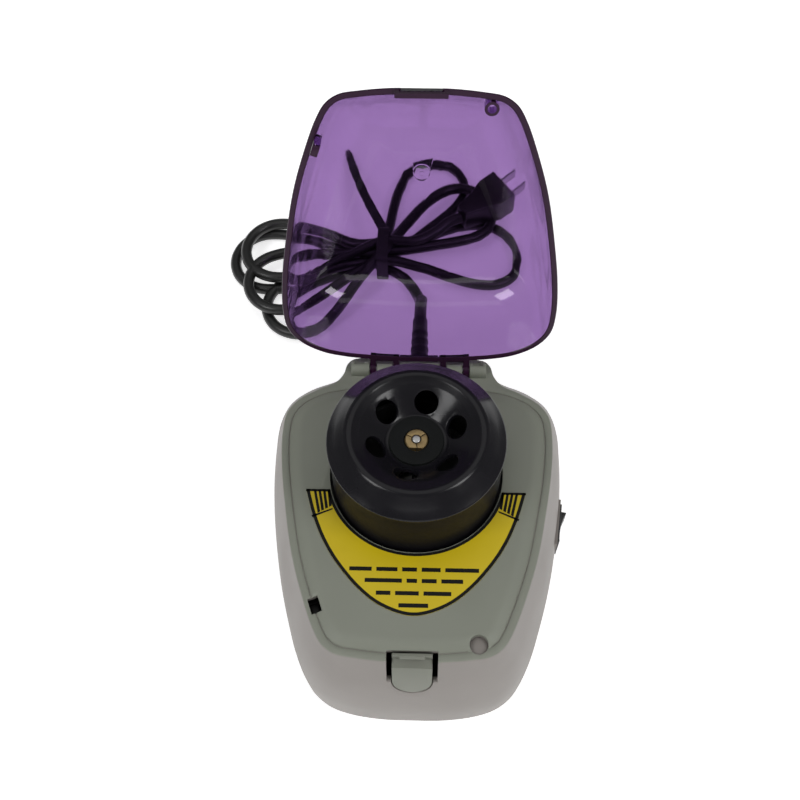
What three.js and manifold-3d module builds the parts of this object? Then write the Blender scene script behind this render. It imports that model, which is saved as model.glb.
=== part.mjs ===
// Mini microcentrifuge with a hinged clear lid, an open six-tube rotor and a mains lead.
// Millimetres, +Z up, front towards -Y, standing on its feet at z = 0, lid open on its stop.

import * as THREE from 'three';
import { mergeVertices } from 'three/addons/utils/BufferGeometryUtils.js';
import Module from 'manifold-3d';

const wasm = await Module();
wasm.setup();

// ---------------------------------------------------------------- driving dimensions

// Housing
const DECK_HEIGHT = 70; // rim band that the lid closes on
const DECK_HALF_WIDTH = 65;
const DECK_FRONT = 88.6; // deck's front edge, in front of the hinge frame's origin
const BODY_HALF_WIDTH = 73.8; // widest place, low on the flanks
const BODY_FRONT = 98.3;
const BODY_REAR = 73.5;
const NECK_HALF_WIDTH = 37.4;
const NECK_REAR = 66;
const SKIRT_BOTTOM = 3;
const WALL = 2.5;
const DECK_THICKNESS = 2.6;
const RIM_BAND = 3.3;
const GROOVE = 0.5;
const PLATEAU_RISE = 2;
const PLATEAU_INSET = 10;
const GAP = 0.3; // between pieces that touch
const RUNNING_GAP = 0.5; // between pieces that move past each other

// Rotor and its chamber
const ROTOR_Y = 1.2; // spindle axis
const ROTOR_RADIUS = 40;
const SKIRT_RADIUS = 39.3;
const ROTOR_WALL = 1.8;
const LIP_RADIUS = 32.5;
const ROTOR_TOP = 112.2;
const ROTOR_DISH_DEPTH = 10.2;
const HUB_DISC_RADIUS = 12.3;
const HUB_DISC_RISE = 1.6;
const TUBE_HOLE_RADIUS = 5.5;
const TUBE_PITCH_RADIUS = 18.5;
const TUBE_TILT = THREE.MathUtils.degToRad(38);
const TUBE_COUNT = 6;
const TUBE_PHASE = THREE.MathUtils.degToRad(17);
const DECK_HOLE_CLEARANCE = 1.3;
const ROTOR_REACH = 6; // how far the skirt goes down into the deck

// Motor
const MOTOR_RADIUS = 18;
const MOTOR_LENGTH = 43;
const MOTOR_WALL = 1.6;
const SHAFT_RADIUS = 2;
const COLLET_RADIUS = 5.25;
const COLLET_LENGTH = 11;
const CHAMBER_FLOOR = 58;
const PLATE_THICKNESS = 2;
const ISOLATOR_HEIGHT = 4;
const ISOLATOR_RING = 24;

// Lid and hinge
const HINGE_Y = 58.7;
const HINGE_Z = DECK_HEIGHT + 0.9;
const PIN_RADIUS = 1.3;
const KNUCKLE_RADIUS = 3.65;
const FINGER_WIDTH = 2.8;
const FINGER_RADIUS = 3.3;
const FINGER_CENTRES = [-22.6, -11.2, 12.1, 23.5];
const LID_OPEN_ANGLE = THREE.MathUtils.degToRad(107.6);
const LID_DEPTH = 48; // dome height over the rim
const LID_WALL = 2.4;
const LID_REAR = 52.9; // rear edge of the closed lid
const LID_CROWN_Y = -7.3;

// Latch
const TONGUE_HALF_WIDTH = 8.8;
const LATCH_SLOT = 2.4;
const LATCH_SLOT_BOTTOM = 54.5;
const TONGUE_THICKNESS = 2.2;
const TONGUE_TRAVEL = 1; // how far its top goes back when it is pressed
const RIDGE_HALF_WIDTH = 5.5;
const BAR_DROP = 3.1; // catch bar's middle under the lid rim
const BAR_SIZE = 2;

// Power switch
const SWITCH_Y = -7.5;
const SWITCH_Z = 29;
const SWITCH_LENGTH = 21;
const SWITCH_HEIGHT = 15;
const ROCKER_SWING = THREE.MathUtils.degToRad(8);

// Mains lead
const CORD_DIAMETER = 6.6;
const CORD_EXIT_Z = 48;
const RELIEF_LENGTH = 32;
const TIE_X = -24;
const TIE_Y = 181;

// ---------------------------------------------------------------- finishes

function finish(color, roughness, metalness = 0) {
  return new THREE.MeshStandardMaterial({ color, roughness, metalness });
}

const housingPlastic = finish(0x9c978c, 0.55);
const basePlastic = finish(0x8f8b82, 0.6);
const blackPlastic = finish(0x17181a, 0.4);
const rotorBlack = finish(0x15161a, 0.25, 0.3);
const lidPurple = finish(0x70409a, 0.1);
lidPurple.transparent = true;
lidPurple.opacity = 0.6;
const labelYellow = finish(0xc8a800, 0.5);
const rubber = finish(0x1c1c1c, 0.85);
const steel = finish(0xb4b6b8, 0.35, 0.9);
const brass = finish(0x9a7d4e, 0.45, 0.6);
const copper = finish(0x9a5a34, 0.4, 0.8);
const ferrite = finish(0x34332f, 0.7, 0.1);
const boardGreen = finish(0x2a6b3a, 0.5);
const cordBlack = finish(0x0c0d0d, 0.45);
const wireRed = finish(0xa02a24, 0.5);

// ---------------------------------------------------------------- solid helpers

const machine = new THREE.Group();

/** Merges a geometry's shared corners, drops flat triangles and turns its faces outwards. */
function welded(geometry) {
  const bare = geometry.clone();
  bare.deleteAttribute('normal');
  bare.deleteAttribute('uv');
  const merged = mergeVertices(bare, 1e-4);
  const position = merged.attributes.position;
  const index = [];
  let volume = 0;
  const [a, b, c] = [new THREE.Vector3(), new THREE.Vector3(), new THREE.Vector3()];
  for (let i = 0; i < merged.index.count; i += 3) {
    const corners = [0, 1, 2].map((k) => merged.index.getX(i + k));
    if (new Set(corners).size < 3) continue;
    index.push(...corners);
    a.fromBufferAttribute(position, corners[0]);
    b.fromBufferAttribute(position, corners[1]);
    c.fromBufferAttribute(position, corners[2]);
    volume += a.dot(b.cross(c));
  }
  if (volume < 0) index.reverse();
  merged.setIndex(index);
  return merged;
}

function solid(geometry) {
  const closed = welded(geometry);
  return new wasm.Manifold(
    new wasm.Mesh({
      numProp: 3,
      vertProperties: new Float32Array(closed.attributes.position.array),
      triVerts: new Uint32Array(closed.index.array),
    }),
  );
}

function geometryOf(shape) {
  const mesh = shape.getMesh();
  const geometry = new THREE.BufferGeometry();
  geometry.setAttribute('position', new THREE.BufferAttribute(mesh.vertProperties, mesh.numProp));
  geometry.setIndex(new THREE.BufferAttribute(mesh.triVerts, 1));
  return geometry;
}

/** Adds one named piece to a group. The shape is a geometry or a solid. */
function addPiece(name, shape, material, group = machine) {
  const geometry = shape instanceof THREE.BufferGeometry ? welded(shape) : geometryOf(shape);
  geometry.computeVertexNormals();
  const mesh = new THREE.Mesh(geometry, material);
  mesh.name = name;
  group.add(mesh);
  return mesh;
}

/** A box given by its lowest and highest corners. */
function block([x0, y0, z0], [x1, y1, z1]) {
  const geometry = new THREE.BoxGeometry(x1 - x0, y1 - y0, z1 - z0);
  return geometry.translate((x0 + x1) / 2, (y0 + y1) / 2, (z0 + z1) / 2);
}

/** An upright cylinder from z0 to z1. */
function rod(radius, x, y, z0, z1, sides = 20) {
  const geometry = new THREE.CylinderGeometry(radius, radius, z1 - z0, sides);
  return geometry.rotateX(Math.PI / 2).translate(x, y, (z0 + z1) / 2);
}

/** A cylinder along X. */
function barX(radius, x0, x1, y, z, sides = 16) {
  const geometry = new THREE.CylinderGeometry(radius, radius, x1 - x0, sides);
  return geometry.rotateZ(Math.PI / 2).translate((x0 + x1) / 2, y, z);
}

/** A cylinder along Y. */
function barY(radius, x, y0, y1, z, sides = 24) {
  const geometry = new THREE.CylinderGeometry(radius, radius, y1 - y0, sides);
  return geometry.translate(x, (y0 + y1) / 2, z);
}

/** A turned piece: [radius, z] pairs round a closed section, at the given axis. */
function turned(section, x, y, sides = 28) {
  const points = [...section, section[0]].map(([r, z]) => new THREE.Vector2(r, z));
  return new THREE.LatheGeometry(points, sides).rotateX(Math.PI / 2).translate(x, y, 0);
}

/** A flat plate cut to a shape, from z0 to z1. */
function plate(shape, z0, z1, curveSegments = 8) {
  const geometry = new THREE.ExtrudeGeometry(shape, { depth: z1 - z0, bevelEnabled: false, curveSegments });
  return geometry.translate(0, 0, z0);
}

/** A closed body through rings of equal length, with both ends capped. */
function lofted(rings) {
  const count = rings[0].length;
  const positions = rings.flat().flatMap((p) => [p.x, p.y, p.z]);
  const index = [];
  for (let r = 0; r + 1 < rings.length; r++) {
    for (let i = 0; i < count; i++) {
      const j = (i + 1) % count;
      const [a, b, c, d] = [r * count + i, r * count + j, (r + 1) * count + j, (r + 1) * count + i];
      index.push(a, b, c, a, c, d);
    }
  }
  for (const [start, turn] of [[0, -1], [(rings.length - 1) * count, 1]]) {
    const centre = new THREE.Vector3();
    for (let i = 0; i < count; i++) centre.add(rings[start / count][i]);
    centre.divideScalar(count);
    const hub = positions.length / 3;
    positions.push(centre.x, centre.y, centre.z);
    for (let i = 0; i < count; i++) {
      const [a, b] = [start + i, start + ((i + 1) % count)];
      index.push(...(turn > 0 ? [hub, a, b] : [hub, b, a]));
    }
  }
  const geometry = new THREE.BufferGeometry();
  geometry.setAttribute('position', new THREE.Float32BufferAttribute(positions, 3));
  geometry.setIndex(index);
  return geometry;
}

/** A round tube along a list of points. */
function tube(points, diameter, steps, sides = 10) {
  const path = new THREE.CatmullRomCurve3(points.map((p) => new THREE.Vector3(...p)), false, 'centripetal');
  const section = new THREE.Shape();
  for (let i = 0; i < sides; i++) {
    const turn = (i / sides) * 2 * Math.PI;
    const at = [(diameter / 2) * Math.cos(turn), (diameter / 2) * Math.sin(turn)];
    if (i === 0) section.moveTo(...at);
    else section.lineTo(...at);
  }
  return new THREE.ExtrudeGeometry(section, { steps, bevelEnabled: false, extrudePath: path });
}

// ---------------------------------------------------------------- outlines

/** The closed outline through half an outline's stations, front to rear, mirrored about X = 0. */
function outline(stations) {
  const left = stations.slice(1, -1).reverse().map(([x, y]) => [-x, y]);
  return [...stations, ...left].map(([x, y]) => new THREE.Vector3(x, y, 0));
}

/** The outline moved inwards by a distance. */
function inset(ring, distance) {
  return ring.map((p, i) => {
    const before = ring[(i + ring.length - 1) % ring.length];
    const after = ring[(i + 1) % ring.length];
    const along = after.clone().sub(before).normalize();
    return new THREE.Vector3(p.x - along.y * distance, p.y + along.x * distance, p.z);
  });
}

function raised(ring, z) {
  return ring.map((p) => new THREE.Vector3(p.x, p.y, z));
}

function between(ringA, ringB, share) {
  return ringA.map((p, i) => p.clone().lerp(ringB[i], share));
}

const W = DECK_HALF_WIDTH;
const F = DECK_FRONT;

// The front and the flanks, shared by the deck and the lid that closes on it.
const frontStations = [
  [0, -F], [0.2 * W, -0.998 * F], [0.392 * W, -0.984 * F], [0.52 * W, -0.966 * F],
  [0.603 * W, -0.924 * F], [0.665 * W, -0.852 * F], [0.76 * W, -0.677 * F],
  [0.854 * W, -0.457 * F], [0.935 * W, -0.169 * F],
];
const deckOutline = outline([
  ...frontStations,
  [0.985 * W, 6], [W, 23], [0.978 * W, 34], [0.902 * W, 41], [0.762 * W, 46.8],
  [NECK_HALF_WIDTH + 3.6, 51.2], [NECK_HALF_WIDTH, 56.5], [NECK_HALF_WIDTH - 1.4, NECK_REAR - 4],
  [NECK_HALF_WIDTH - 5, NECK_REAR - 0.5], [0, NECK_REAR],
]);
const lidOutline = outline([
  ...frontStations,
  [0.985 * W, 6], [W, 23], [0.975 * W, LID_REAR - 18.9], [0.885 * W, LID_REAR - 10.9],
  [0.723 * W, LID_REAR - 4.9], [0.554 * W, LID_REAR - 2.3], [0.415 * W, LID_REAR - 1.3],
  [0.277 * W, LID_REAR - 0.6], [0.138 * W, LID_REAR - 0.1], [0, LID_REAR],
]);
const B = BODY_HALF_WIDTH;
const bodyOutline = outline([
  [0, -BODY_FRONT], [0.203 * B, -0.997 * BODY_FRONT], [0.406 * B, -0.975 * BODY_FRONT],
  [0.549 * B, -0.936 * BODY_FRONT], [0.664 * B, -0.865 * BODY_FRONT], [0.745 * B, -0.753 * BODY_FRONT],
  [0.818 * B, -0.59 * BODY_FRONT], [0.894 * B, -0.376 * BODY_FRONT], [0.959 * B, -0.112 * BODY_FRONT],
  [0.992 * B, 10], [B, 28], [0.993 * B, 0.6 * BODY_REAR], [0.935 * B, 0.79 * BODY_REAR],
  [0.8 * B, 0.918 * BODY_REAR], [0.637 * B, 0.98 * BODY_REAR], [0.515 * B, 0.997 * BODY_REAR],
  [0.366 * B, BODY_REAR], [0.19 * B, BODY_REAR], [0, BODY_REAR],
]);

// How far the walls have swung out from the deck's outline to the body's, by height.
const wallSwing = [
  [SKIRT_BOTTOM, 0.92], [0.2 * DECK_HEIGHT, 0.985], [0.34 * DECK_HEIGHT, 1], [0.5 * DECK_HEIGHT, 0.88],
  [0.68 * DECK_HEIGHT, 0.64], [0.84 * DECK_HEIGHT, 0.33], [0.95 * DECK_HEIGHT, 0.1], [DECK_HEIGHT, 0],
];

function swingAt(z) {
  const k = wallSwing.findIndex(([height]) => height >= z);
  if (k <= 0) return wallSwing[0][1];
  const [z0, s0] = wallSwing[k - 1];
  const [z1, s1] = wallSwing[k];
  return s0 + ((s1 - s0) * (z - z0)) / (z1 - z0);
}

function wallRing(z, depth = 0) {
  return raised(inset(between(deckOutline, bodyOutline, swingAt(z)), depth), z);
}

const frontWallY = (z) => -F - (BODY_FRONT - F) * swingAt(z);
const rearWallY = (z) => NECK_REAR + (BODY_REAR - NECK_REAR) * swingAt(z);

/** The right wall's outer place at a height, at about the switch's station. */
function sideWallX(y, z) {
  const ring = wallRing(z).filter((p) => p.x > 0);
  return ring.reduce((best, p) => (Math.abs(p.y - y) < Math.abs(best.y - y) ? p : best)).x;
}

const PLATEAU_Z = DECK_HEIGHT + PLATEAU_RISE;
const DECK_HOLE_RADIUS = SKIRT_RADIUS + DECK_HOLE_CLEARANCE;
const LID_RIM_Z = DECK_HEIGHT + GAP;

// ---------------------------------------------------------------- housing

const outerBody = solid(lofted([
  ...wallSwing.map(([z]) => wallRing(z)),
  raised(inset(lidOutline, RIM_BAND), DECK_HEIGHT),
  raised(inset(lidOutline, RIM_BAND + GROOVE / 2), DECK_HEIGHT - GROOVE),
  raised(inset(lidOutline, RIM_BAND + GROOVE), DECK_HEIGHT),
  raised(inset(lidOutline, 0.75 * PLATEAU_INSET), PLATEAU_Z - 0.25 * PLATEAU_RISE),
  raised(inset(lidOutline, PLATEAU_INSET), PLATEAU_Z),
]));
const ceiling = DECK_HEIGHT - DECK_THICKNESS;
const cavity = solid(lofted([
  raised(wallRing(SKIRT_BOTTOM, WALL), 0),
  ...wallSwing.slice(0, -2).map(([z]) => wallRing(z, WALL)),
  wallRing(ceiling, WALL),
  raised(inset(lidOutline, PLATEAU_INSET + 2), ceiling),
  raised(inset(lidOutline, PLATEAU_INSET + 4), PLATEAU_Z - DECK_THICKNESS),
]));
let housing = outerBody.subtract(cavity);

// Posts for the four screws that hold the base plate
const POST_RADIUS = 4;
const SCREW_RADIUS = 1.3;
const SCREW_LENGTH = 14;
const REAR_POST_Y = 40;
const postCentres = [
  [-0.66 * B, -0.42 * F], [0.66 * B, -0.42 * F], [-0.82 * B, REAR_POST_Y], [0.82 * B, REAR_POST_Y],
];
const BASE_THICKNESS = 2.5;
const BASE_BOTTOM = SKIRT_BOTTOM + 0.5;
const BASE_TOP = BASE_BOTTOM + BASE_THICKNESS;
for (const [x, y] of postCentres) {
  const post = solid(rod(POST_RADIUS, x, y, BASE_TOP + GAP, DECK_HEIGHT - 0.5, 16));
  housing = housing.add(post.intersect(outerBody));
  housing = housing.subtract(solid(rod(SCREW_RADIUS + GAP, x, y, 0, BASE_TOP + SCREW_LENGTH + 2, 12)));
}

// Deck hole for the rotor
housing = housing.subtract(solid(rod(DECK_HOLE_RADIUS, 0, ROTOR_Y, ceiling - 4, PLATEAU_Z + 5, 40)));

// Hinge: end blocks, centre bar and small knuckles, with slots that the lid's fingers turn in
const hingeReach = NECK_HALF_WIDTH - 3.9;
const knuckles = [[-hingeReach, FINGER_CENTRES[0]], [FINGER_CENTRES[0], FINGER_CENTRES[1]],
  [FINGER_CENTRES[1], FINGER_CENTRES[2]], [FINGER_CENTRES[2], FINGER_CENTRES[3]],
  [FINGER_CENTRES[3], hingeReach]];
const FINGER_SPACE = FINGER_WIDTH / 2 + RUNNING_GAP;
knuckles.forEach(([from, to], k) => {
  const x0 = k === 0 ? from : from + FINGER_SPACE;
  const x1 = k === knuckles.length - 1 ? to : to - FINGER_SPACE;
  const small = k === 1 || k === 3;
  const radius = small ? KNUCKLE_RADIUS - 0.9 : KNUCKLE_RADIUS;
  housing = housing.add(solid(barX(radius, x0, x1, HINGE_Y, HINGE_Z)));
  const foot = block([x0, HINGE_Y - radius, ceiling], [x1, HINGE_Y + radius, HINGE_Z]);
  housing = housing.add(solid(foot));
});
for (const x of FINGER_CENTRES) {
  const swept = barX(FINGER_RADIUS + RUNNING_GAP, x - FINGER_SPACE, x + FINGER_SPACE, HINGE_Y, HINGE_Z);
  housing = housing.subtract(solid(swept));
}
housing = housing.subtract(solid(barX(PIN_RADIUS + GAP, -hingeReach - 1, hingeReach + 1, HINGE_Y, HINGE_Z)));

// Slot that the lid's interlock tab enters, following the edge at the left front
const INTERLOCK_Y = -64.3;
const INTERLOCK_X = -0.668 * W;
const INTERLOCK_TURN = THREE.MathUtils.degToRad(20);
const interlockSize = { width: 4.8, length: 7.4 };
function atInterlock(geometry) {
  return geometry.rotateZ(INTERLOCK_TURN).translate(INTERLOCK_X, INTERLOCK_Y, 0);
}
const slotCorner = [interlockSize.width / 2, interlockSize.length / 2];
const slotCut = block([-slotCorner[0], -slotCorner[1], ceiling - 5], [slotCorner[0], slotCorner[1], PLATEAU_Z + 5]);
housing = housing.subtract(solid(atInterlock(slotCut)));

// Round pocket at the right front, in which the lid's ring boss seats
const POCKET = { x: 0.441 * W, y: -0.911 * F, radius: 3.5, depth: 1.7 };
const POCKET_FLOOR = DECK_HEIGHT - POCKET.depth;
housing = housing.subtract(solid(rod(POCKET.radius, POCKET.x, POCKET.y, POCKET_FLOOR, PLATEAU_Z + 5)));

// Opening for the front latch: wide beside the tongue, D-shaped below it
const latchHalf = TONGUE_HALF_WIDTH + LATCH_SLOT;
const barFront = -F + 0.4;
const barBack = barFront + BAR_SIZE;
const recessFace = barBack + GAP;
const tongueBack = recessFace + TONGUE_THICKNESS / 2;
const latchBack = tongueBack + TONGUE_TRAVEL;
const latchOpening = block([-latchHalf, -BODY_FRONT - 5, LATCH_SLOT_BOTTOM], [latchHalf, latchBack, PLATEAU_Z + 5]);
housing = housing.subtract(solid(latchOpening));
const dOpening = barY(TONGUE_HALF_WIDTH + RUNNING_GAP, 0, -BODY_FRONT - 5, latchBack, LATCH_SLOT_BOTTOM, 24);
housing = housing.subtract(solid(dOpening));

// Flat land and opening for the power switch, square to the right wall
const switchTurn = -Math.atan2((0.992 - 0.959) * B, 10 + 0.112 * BODY_FRONT) - THREE.MathUtils.degToRad(0.5);
const switchX = sideWallX(SWITCH_Y, SWITCH_Z) - 0.3;
const switchGroup = new THREE.Group();
switchGroup.position.set(switchX, SWITCH_Y, SWITCH_Z);
switchGroup.rotation.z = switchTurn;
function atSwitch(geometry) {
  return geometry.rotateZ(switchTurn).translate(switchX, SWITCH_Y, SWITCH_Z);
}
const landY = SWITCH_LENGTH / 2 + 1.5;
const landZ = SWITCH_HEIGHT / 2 + 1.5;
const bodyY = SWITCH_LENGTH / 2 - 0.7;
const bodyZ = SWITCH_HEIGHT / 2 - 1.1;
housing = housing.add(solid(atSwitch(block([-4, -landY, -landZ], [0, landY, landZ]))));
housing = housing.subtract(solid(atSwitch(block([0, -landY, -landZ], [8, landY, landZ]))));
const switchHole = block([-8, -bodyY - GAP, -bodyZ - GAP], [2, bodyY + GAP, bodyZ + GAP]);
housing = housing.subtract(solid(atSwitch(switchHole)));

// Land and hole for the cord's strain relief
const reliefLandY = rearWallY(CORD_EXIT_Z - 7);
const RELIEF_NECK = 5;
const RELIEF_LAND_RADIUS = 8;
housing = housing.add(solid(barY(RELIEF_LAND_RADIUS, 0, reliefLandY - 6, reliefLandY, CORD_EXIT_Z)));
housing = housing.subtract(solid(barY(RELIEF_NECK + GAP, 0, reliefLandY - 12, reliefLandY + 4, CORD_EXIT_Z)));
addPiece('housing_shell', housing, housingPlastic);

// ---------------------------------------------------------------- base plate, feet and screws

const FOOT_RADIUS = 7;
const SCREW_HEAD_RADIUS = 2.9;
const SCREW_HEAD = 1.6;
let basePlate = solid(lofted([
  raised(wallRing(SKIRT_BOTTOM, WALL + GAP), BASE_BOTTOM),
  raised(wallRing(SKIRT_BOTTOM, WALL + GAP), BASE_TOP),
]));
const REAR_FOOT_Y = 52;
const footCentres = [[-0.5 * B, -0.78 * F], [0.5 * B, -0.78 * F], [-0.7 * B, REAR_FOOT_Y], [0.7 * B, REAR_FOOT_Y]];
const FOOT_SEAT = 1;
for (const [x, y] of footCentres) {
  basePlate = basePlate.subtract(solid(rod(FOOT_RADIUS + GAP, x, y, 0, BASE_BOTTOM + FOOT_SEAT)));
}
for (const [x, y] of postCentres) {
  basePlate = basePlate.subtract(solid(rod(SCREW_RADIUS + GAP, x, y, 0, BASE_TOP + 1, 12)));
  basePlate = basePlate.subtract(solid(rod(SCREW_HEAD_RADIUS + GAP, x, y, 0, BASE_BOTTOM + SCREW_HEAD, 16)));
}
const VENT = { rows: 3, firstY: 14, pitch: 7, length: 10, width: 3, fromMiddle: 8 };
for (let i = 0; i < VENT.rows; i++) {
  for (const side of [-1, 1]) {
    const y = VENT.firstY + VENT.pitch * i;
    const x = side * VENT.fromMiddle - VENT.length / 2;
    basePlate = basePlate.subtract(solid(block([x, y, 0], [x + VENT.length, y + VENT.width, BASE_TOP + 1])));
  }
}
addPiece('base_plate', basePlate, basePlastic);

footCentres.forEach(([x, y], i) => {
  const section = [[0, 0], [FOOT_RADIUS - 1, 0], [FOOT_RADIUS, 1], [FOOT_RADIUS, BASE_BOTTOM + FOOT_SEAT - GAP],
    [0, BASE_BOTTOM + FOOT_SEAT - GAP]];
  addPiece(`foot_${i + 1}`, turned(section, x, y, 16), rubber);
});
postCentres.forEach(([x, y], i) => {
  const top = BASE_TOP + SCREW_LENGTH;
  const headTop = BASE_BOTTOM + SCREW_HEAD - GAP;
  const section = [[0, headTop - SCREW_HEAD], [SCREW_HEAD_RADIUS, headTop - SCREW_HEAD],
    [SCREW_HEAD_RADIUS, headTop], [SCREW_RADIUS, headTop], [SCREW_RADIUS, top - 1.5], [0, top]];
  addPiece(`base_screw_${i + 1}`, turned(section, x, y, 10), steel);
});

// ---------------------------------------------------------------- warning label on the deck

const LABEL_THICKNESS = 0.4;
const labelEdge = [
  [0.785 * W, -0.1], [0.727 * W, -0.241], [0.646 * W, -0.381], [0.538 * W, -0.509], [0.38 * W, -0.643],
  [0.21 * W, -0.735], [0, -0.779],
];
function labelShape() {
  const right = labelEdge.map(([x, share]) => new THREE.Vector2(x, share * F));
  const left = right.slice(0, -1).reverse().map((p) => new THREE.Vector2(-p.x, p.y));
  const shape = new THREE.Shape();
  shape.moveTo(right[0].x, right[0].y);
  shape.splineThru([...right.slice(1), ...left]);
  const top = right[0].y - ROTOR_Y;
  const inner = DECK_HOLE_RADIUS + 0.6;
  const start = Math.PI - Math.asin(top / inner);
  shape.lineTo(inner * Math.cos(start), right[0].y);
  shape.absarc(0, ROTOR_Y, inner, start, 2 * Math.PI + Math.asin(top / inner), false);
  return shape;
}
const label = plate(labelShape(), PLATEAU_Z + 0.05, PLATEAU_Z + 0.05 + LABEL_THICKNESS, 5);
addPiece('deck_label', label, labelYellow);

// ---------------------------------------------------------------- rotor chamber

const CHAMBER_RADIUS = DECK_HOLE_RADIUS + 1.9;
const CHAMBER_WALL = 1.8;
const CHAMBER_TOP = ceiling - 0.4;
const FLOOR_TOP = CHAMBER_FLOOR + 2;
const UPSTAND_RADIUS = SKIRT_RADIUS - ROTOR_WALL - 0.9;
const UPSTAND_TOP = DECK_HEIGHT + 8.5;
const SPINDLE_HOLE = 9;
const STUB_RADIUS = 2;
let chamber = solid(turned([
  [SPINDLE_HOLE, CHAMBER_FLOOR], [CHAMBER_RADIUS + CHAMBER_WALL, CHAMBER_FLOOR],
  [CHAMBER_RADIUS + CHAMBER_WALL, CHAMBER_TOP - 1.8], [CHAMBER_RADIUS + CHAMBER_WALL + 2.2, CHAMBER_TOP - 1.8],
  [CHAMBER_RADIUS + CHAMBER_WALL + 2.2, CHAMBER_TOP], [CHAMBER_RADIUS, CHAMBER_TOP],
  [CHAMBER_RADIUS, FLOOR_TOP], [UPSTAND_RADIUS, FLOOR_TOP], [UPSTAND_RADIUS, UPSTAND_TOP],
  [UPSTAND_RADIUS - 1.8, UPSTAND_TOP], [UPSTAND_RADIUS - 1.8, FLOOR_TOP], [SPINDLE_HOLE, FLOOR_TOP],
], 0, ROTOR_Y));
const isolatorCentres = [90, 210, 330].map((degrees) => {
  const turn = THREE.MathUtils.degToRad(degrees);
  return [ISOLATOR_RING * Math.cos(turn), ROTOR_Y + ISOLATOR_RING * Math.sin(turn)];
});
for (const [x, y] of isolatorCentres) {
  chamber = chamber.subtract(solid(rod(STUB_RADIUS + GAP, x, y, CHAMBER_FLOOR - 1, FLOOR_TOP + 1, 12)));
}
addPiece('rotor_chamber', chamber, blackPlastic);

// ---------------------------------------------------------------- motor, hung on rubber mounts

const PLATE_TOP = CHAMBER_FLOOR - ISOLATOR_HEIGHT;
const PLATE_BOTTOM = PLATE_TOP - PLATE_THICKNESS;
const MOTOR_SCREW_RING = 12.5;
const CAN_TOP = PLATE_BOTTOM - GAP;
const CAN_BOTTOM = CAN_TOP - MOTOR_LENGTH;
const END_CAP = 5;
const BEARING_RADIUS = 5;
const BEARING_WIDTH = 4;

let motorPlate = solid(turned([
  [SPINDLE_HOLE - 3, PLATE_BOTTOM], [ISOLATOR_RING + 5, PLATE_BOTTOM],
  [ISOLATOR_RING + 5, PLATE_TOP], [SPINDLE_HOLE - 3, PLATE_TOP],
], 0, ROTOR_Y, 24));
for (const [x, y] of isolatorCentres) {
  motorPlate = motorPlate.subtract(solid(rod(STUB_RADIUS + GAP, x, y, PLATE_BOTTOM - 1, PLATE_TOP + 1, 12)));
}
let can = solid(turned([
  [BEARING_RADIUS + GAP, CAN_TOP - BEARING_WIDTH - 0.6], [BEARING_RADIUS + 1.8, CAN_TOP - BEARING_WIDTH - 0.6],
  [BEARING_RADIUS + 1.8, CAN_TOP - MOTOR_WALL], [MOTOR_RADIUS - MOTOR_WALL, CAN_TOP - MOTOR_WALL],
  [MOTOR_RADIUS - MOTOR_WALL, CAN_BOTTOM], [MOTOR_RADIUS, CAN_BOTTOM], [MOTOR_RADIUS, CAN_TOP - 1],
  [MOTOR_RADIUS - 1, CAN_TOP], [BEARING_RADIUS + GAP, CAN_TOP],
], 0, ROTOR_Y, 24));
for (const side of [-1, 1]) {
  const x = side * MOTOR_SCREW_RING;
  motorPlate = motorPlate.subtract(solid(rod(SCREW_RADIUS + GAP, x, ROTOR_Y, PLATE_BOTTOM - 1, PLATE_TOP + 1, 12)));
  can = can.subtract(solid(rod(SCREW_RADIUS + GAP, x, ROTOR_Y, CAN_TOP - 3, CAN_TOP + 1, 12)));
}
addPiece('motor_plate', motorPlate, steel);
addPiece('motor_can', can, steel);

isolatorCentres.forEach(([x, y], i) => {
  const section = [
    [0, PLATE_BOTTOM], [STUB_RADIUS, PLATE_BOTTOM], [STUB_RADIUS, PLATE_TOP + GAP],
    [4.5, PLATE_TOP + GAP], [4.5, CHAMBER_FLOOR - GAP], [STUB_RADIUS, CHAMBER_FLOOR - GAP],
    [STUB_RADIUS, FLOOR_TOP], [0, FLOOR_TOP],
  ];
  addPiece(`motor_isolator_${i + 1}`, turned(section, x, y, 16), rubber);
});
[-1, 1].forEach((side, i) => {
  const head = PLATE_TOP + GAP;
  const section = [[0, CAN_TOP - 2.5], [SCREW_RADIUS, CAN_TOP - 2.5], [SCREW_RADIUS, head],
    [SCREW_HEAD_RADIUS, head], [SCREW_HEAD_RADIUS, head + 1.8], [0, head + 1.8]];
  addPiece(`motor_screw_${i + 1}`, turned(section, side * MOTOR_SCREW_RING, ROTOR_Y, 12), steel);
});

const capTop = CAN_BOTTOM + END_CAP;
const capRadius = MOTOR_RADIUS - MOTOR_WALL - GAP;
addPiece('motor_end_cap', turned([
  [SHAFT_RADIUS + 0.6, CAN_BOTTOM], [capRadius, CAN_BOTTOM], [capRadius, capTop],
  [BEARING_RADIUS + GAP, capTop], [BEARING_RADIUS + GAP, CAN_BOTTOM + 1], [SHAFT_RADIUS + 0.6, CAN_BOTTOM + 1],
], 0, ROTOR_Y, 24), blackPlastic);

function bearing(z0, z1) {
  const section = [[SHAFT_RADIUS + GAP, z0], [BEARING_RADIUS, z0], [BEARING_RADIUS, z1], [SHAFT_RADIUS + GAP, z1]];
  return turned(section, 0, ROTOR_Y, 16);
}
addPiece('motor_bearing_top', bearing(CAN_TOP - BEARING_WIDTH - 0.6, CAN_TOP - 0.6), brass);
addPiece('motor_bearing_bottom', bearing(CAN_BOTTOM + 1 + GAP, capTop), brass);

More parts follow.
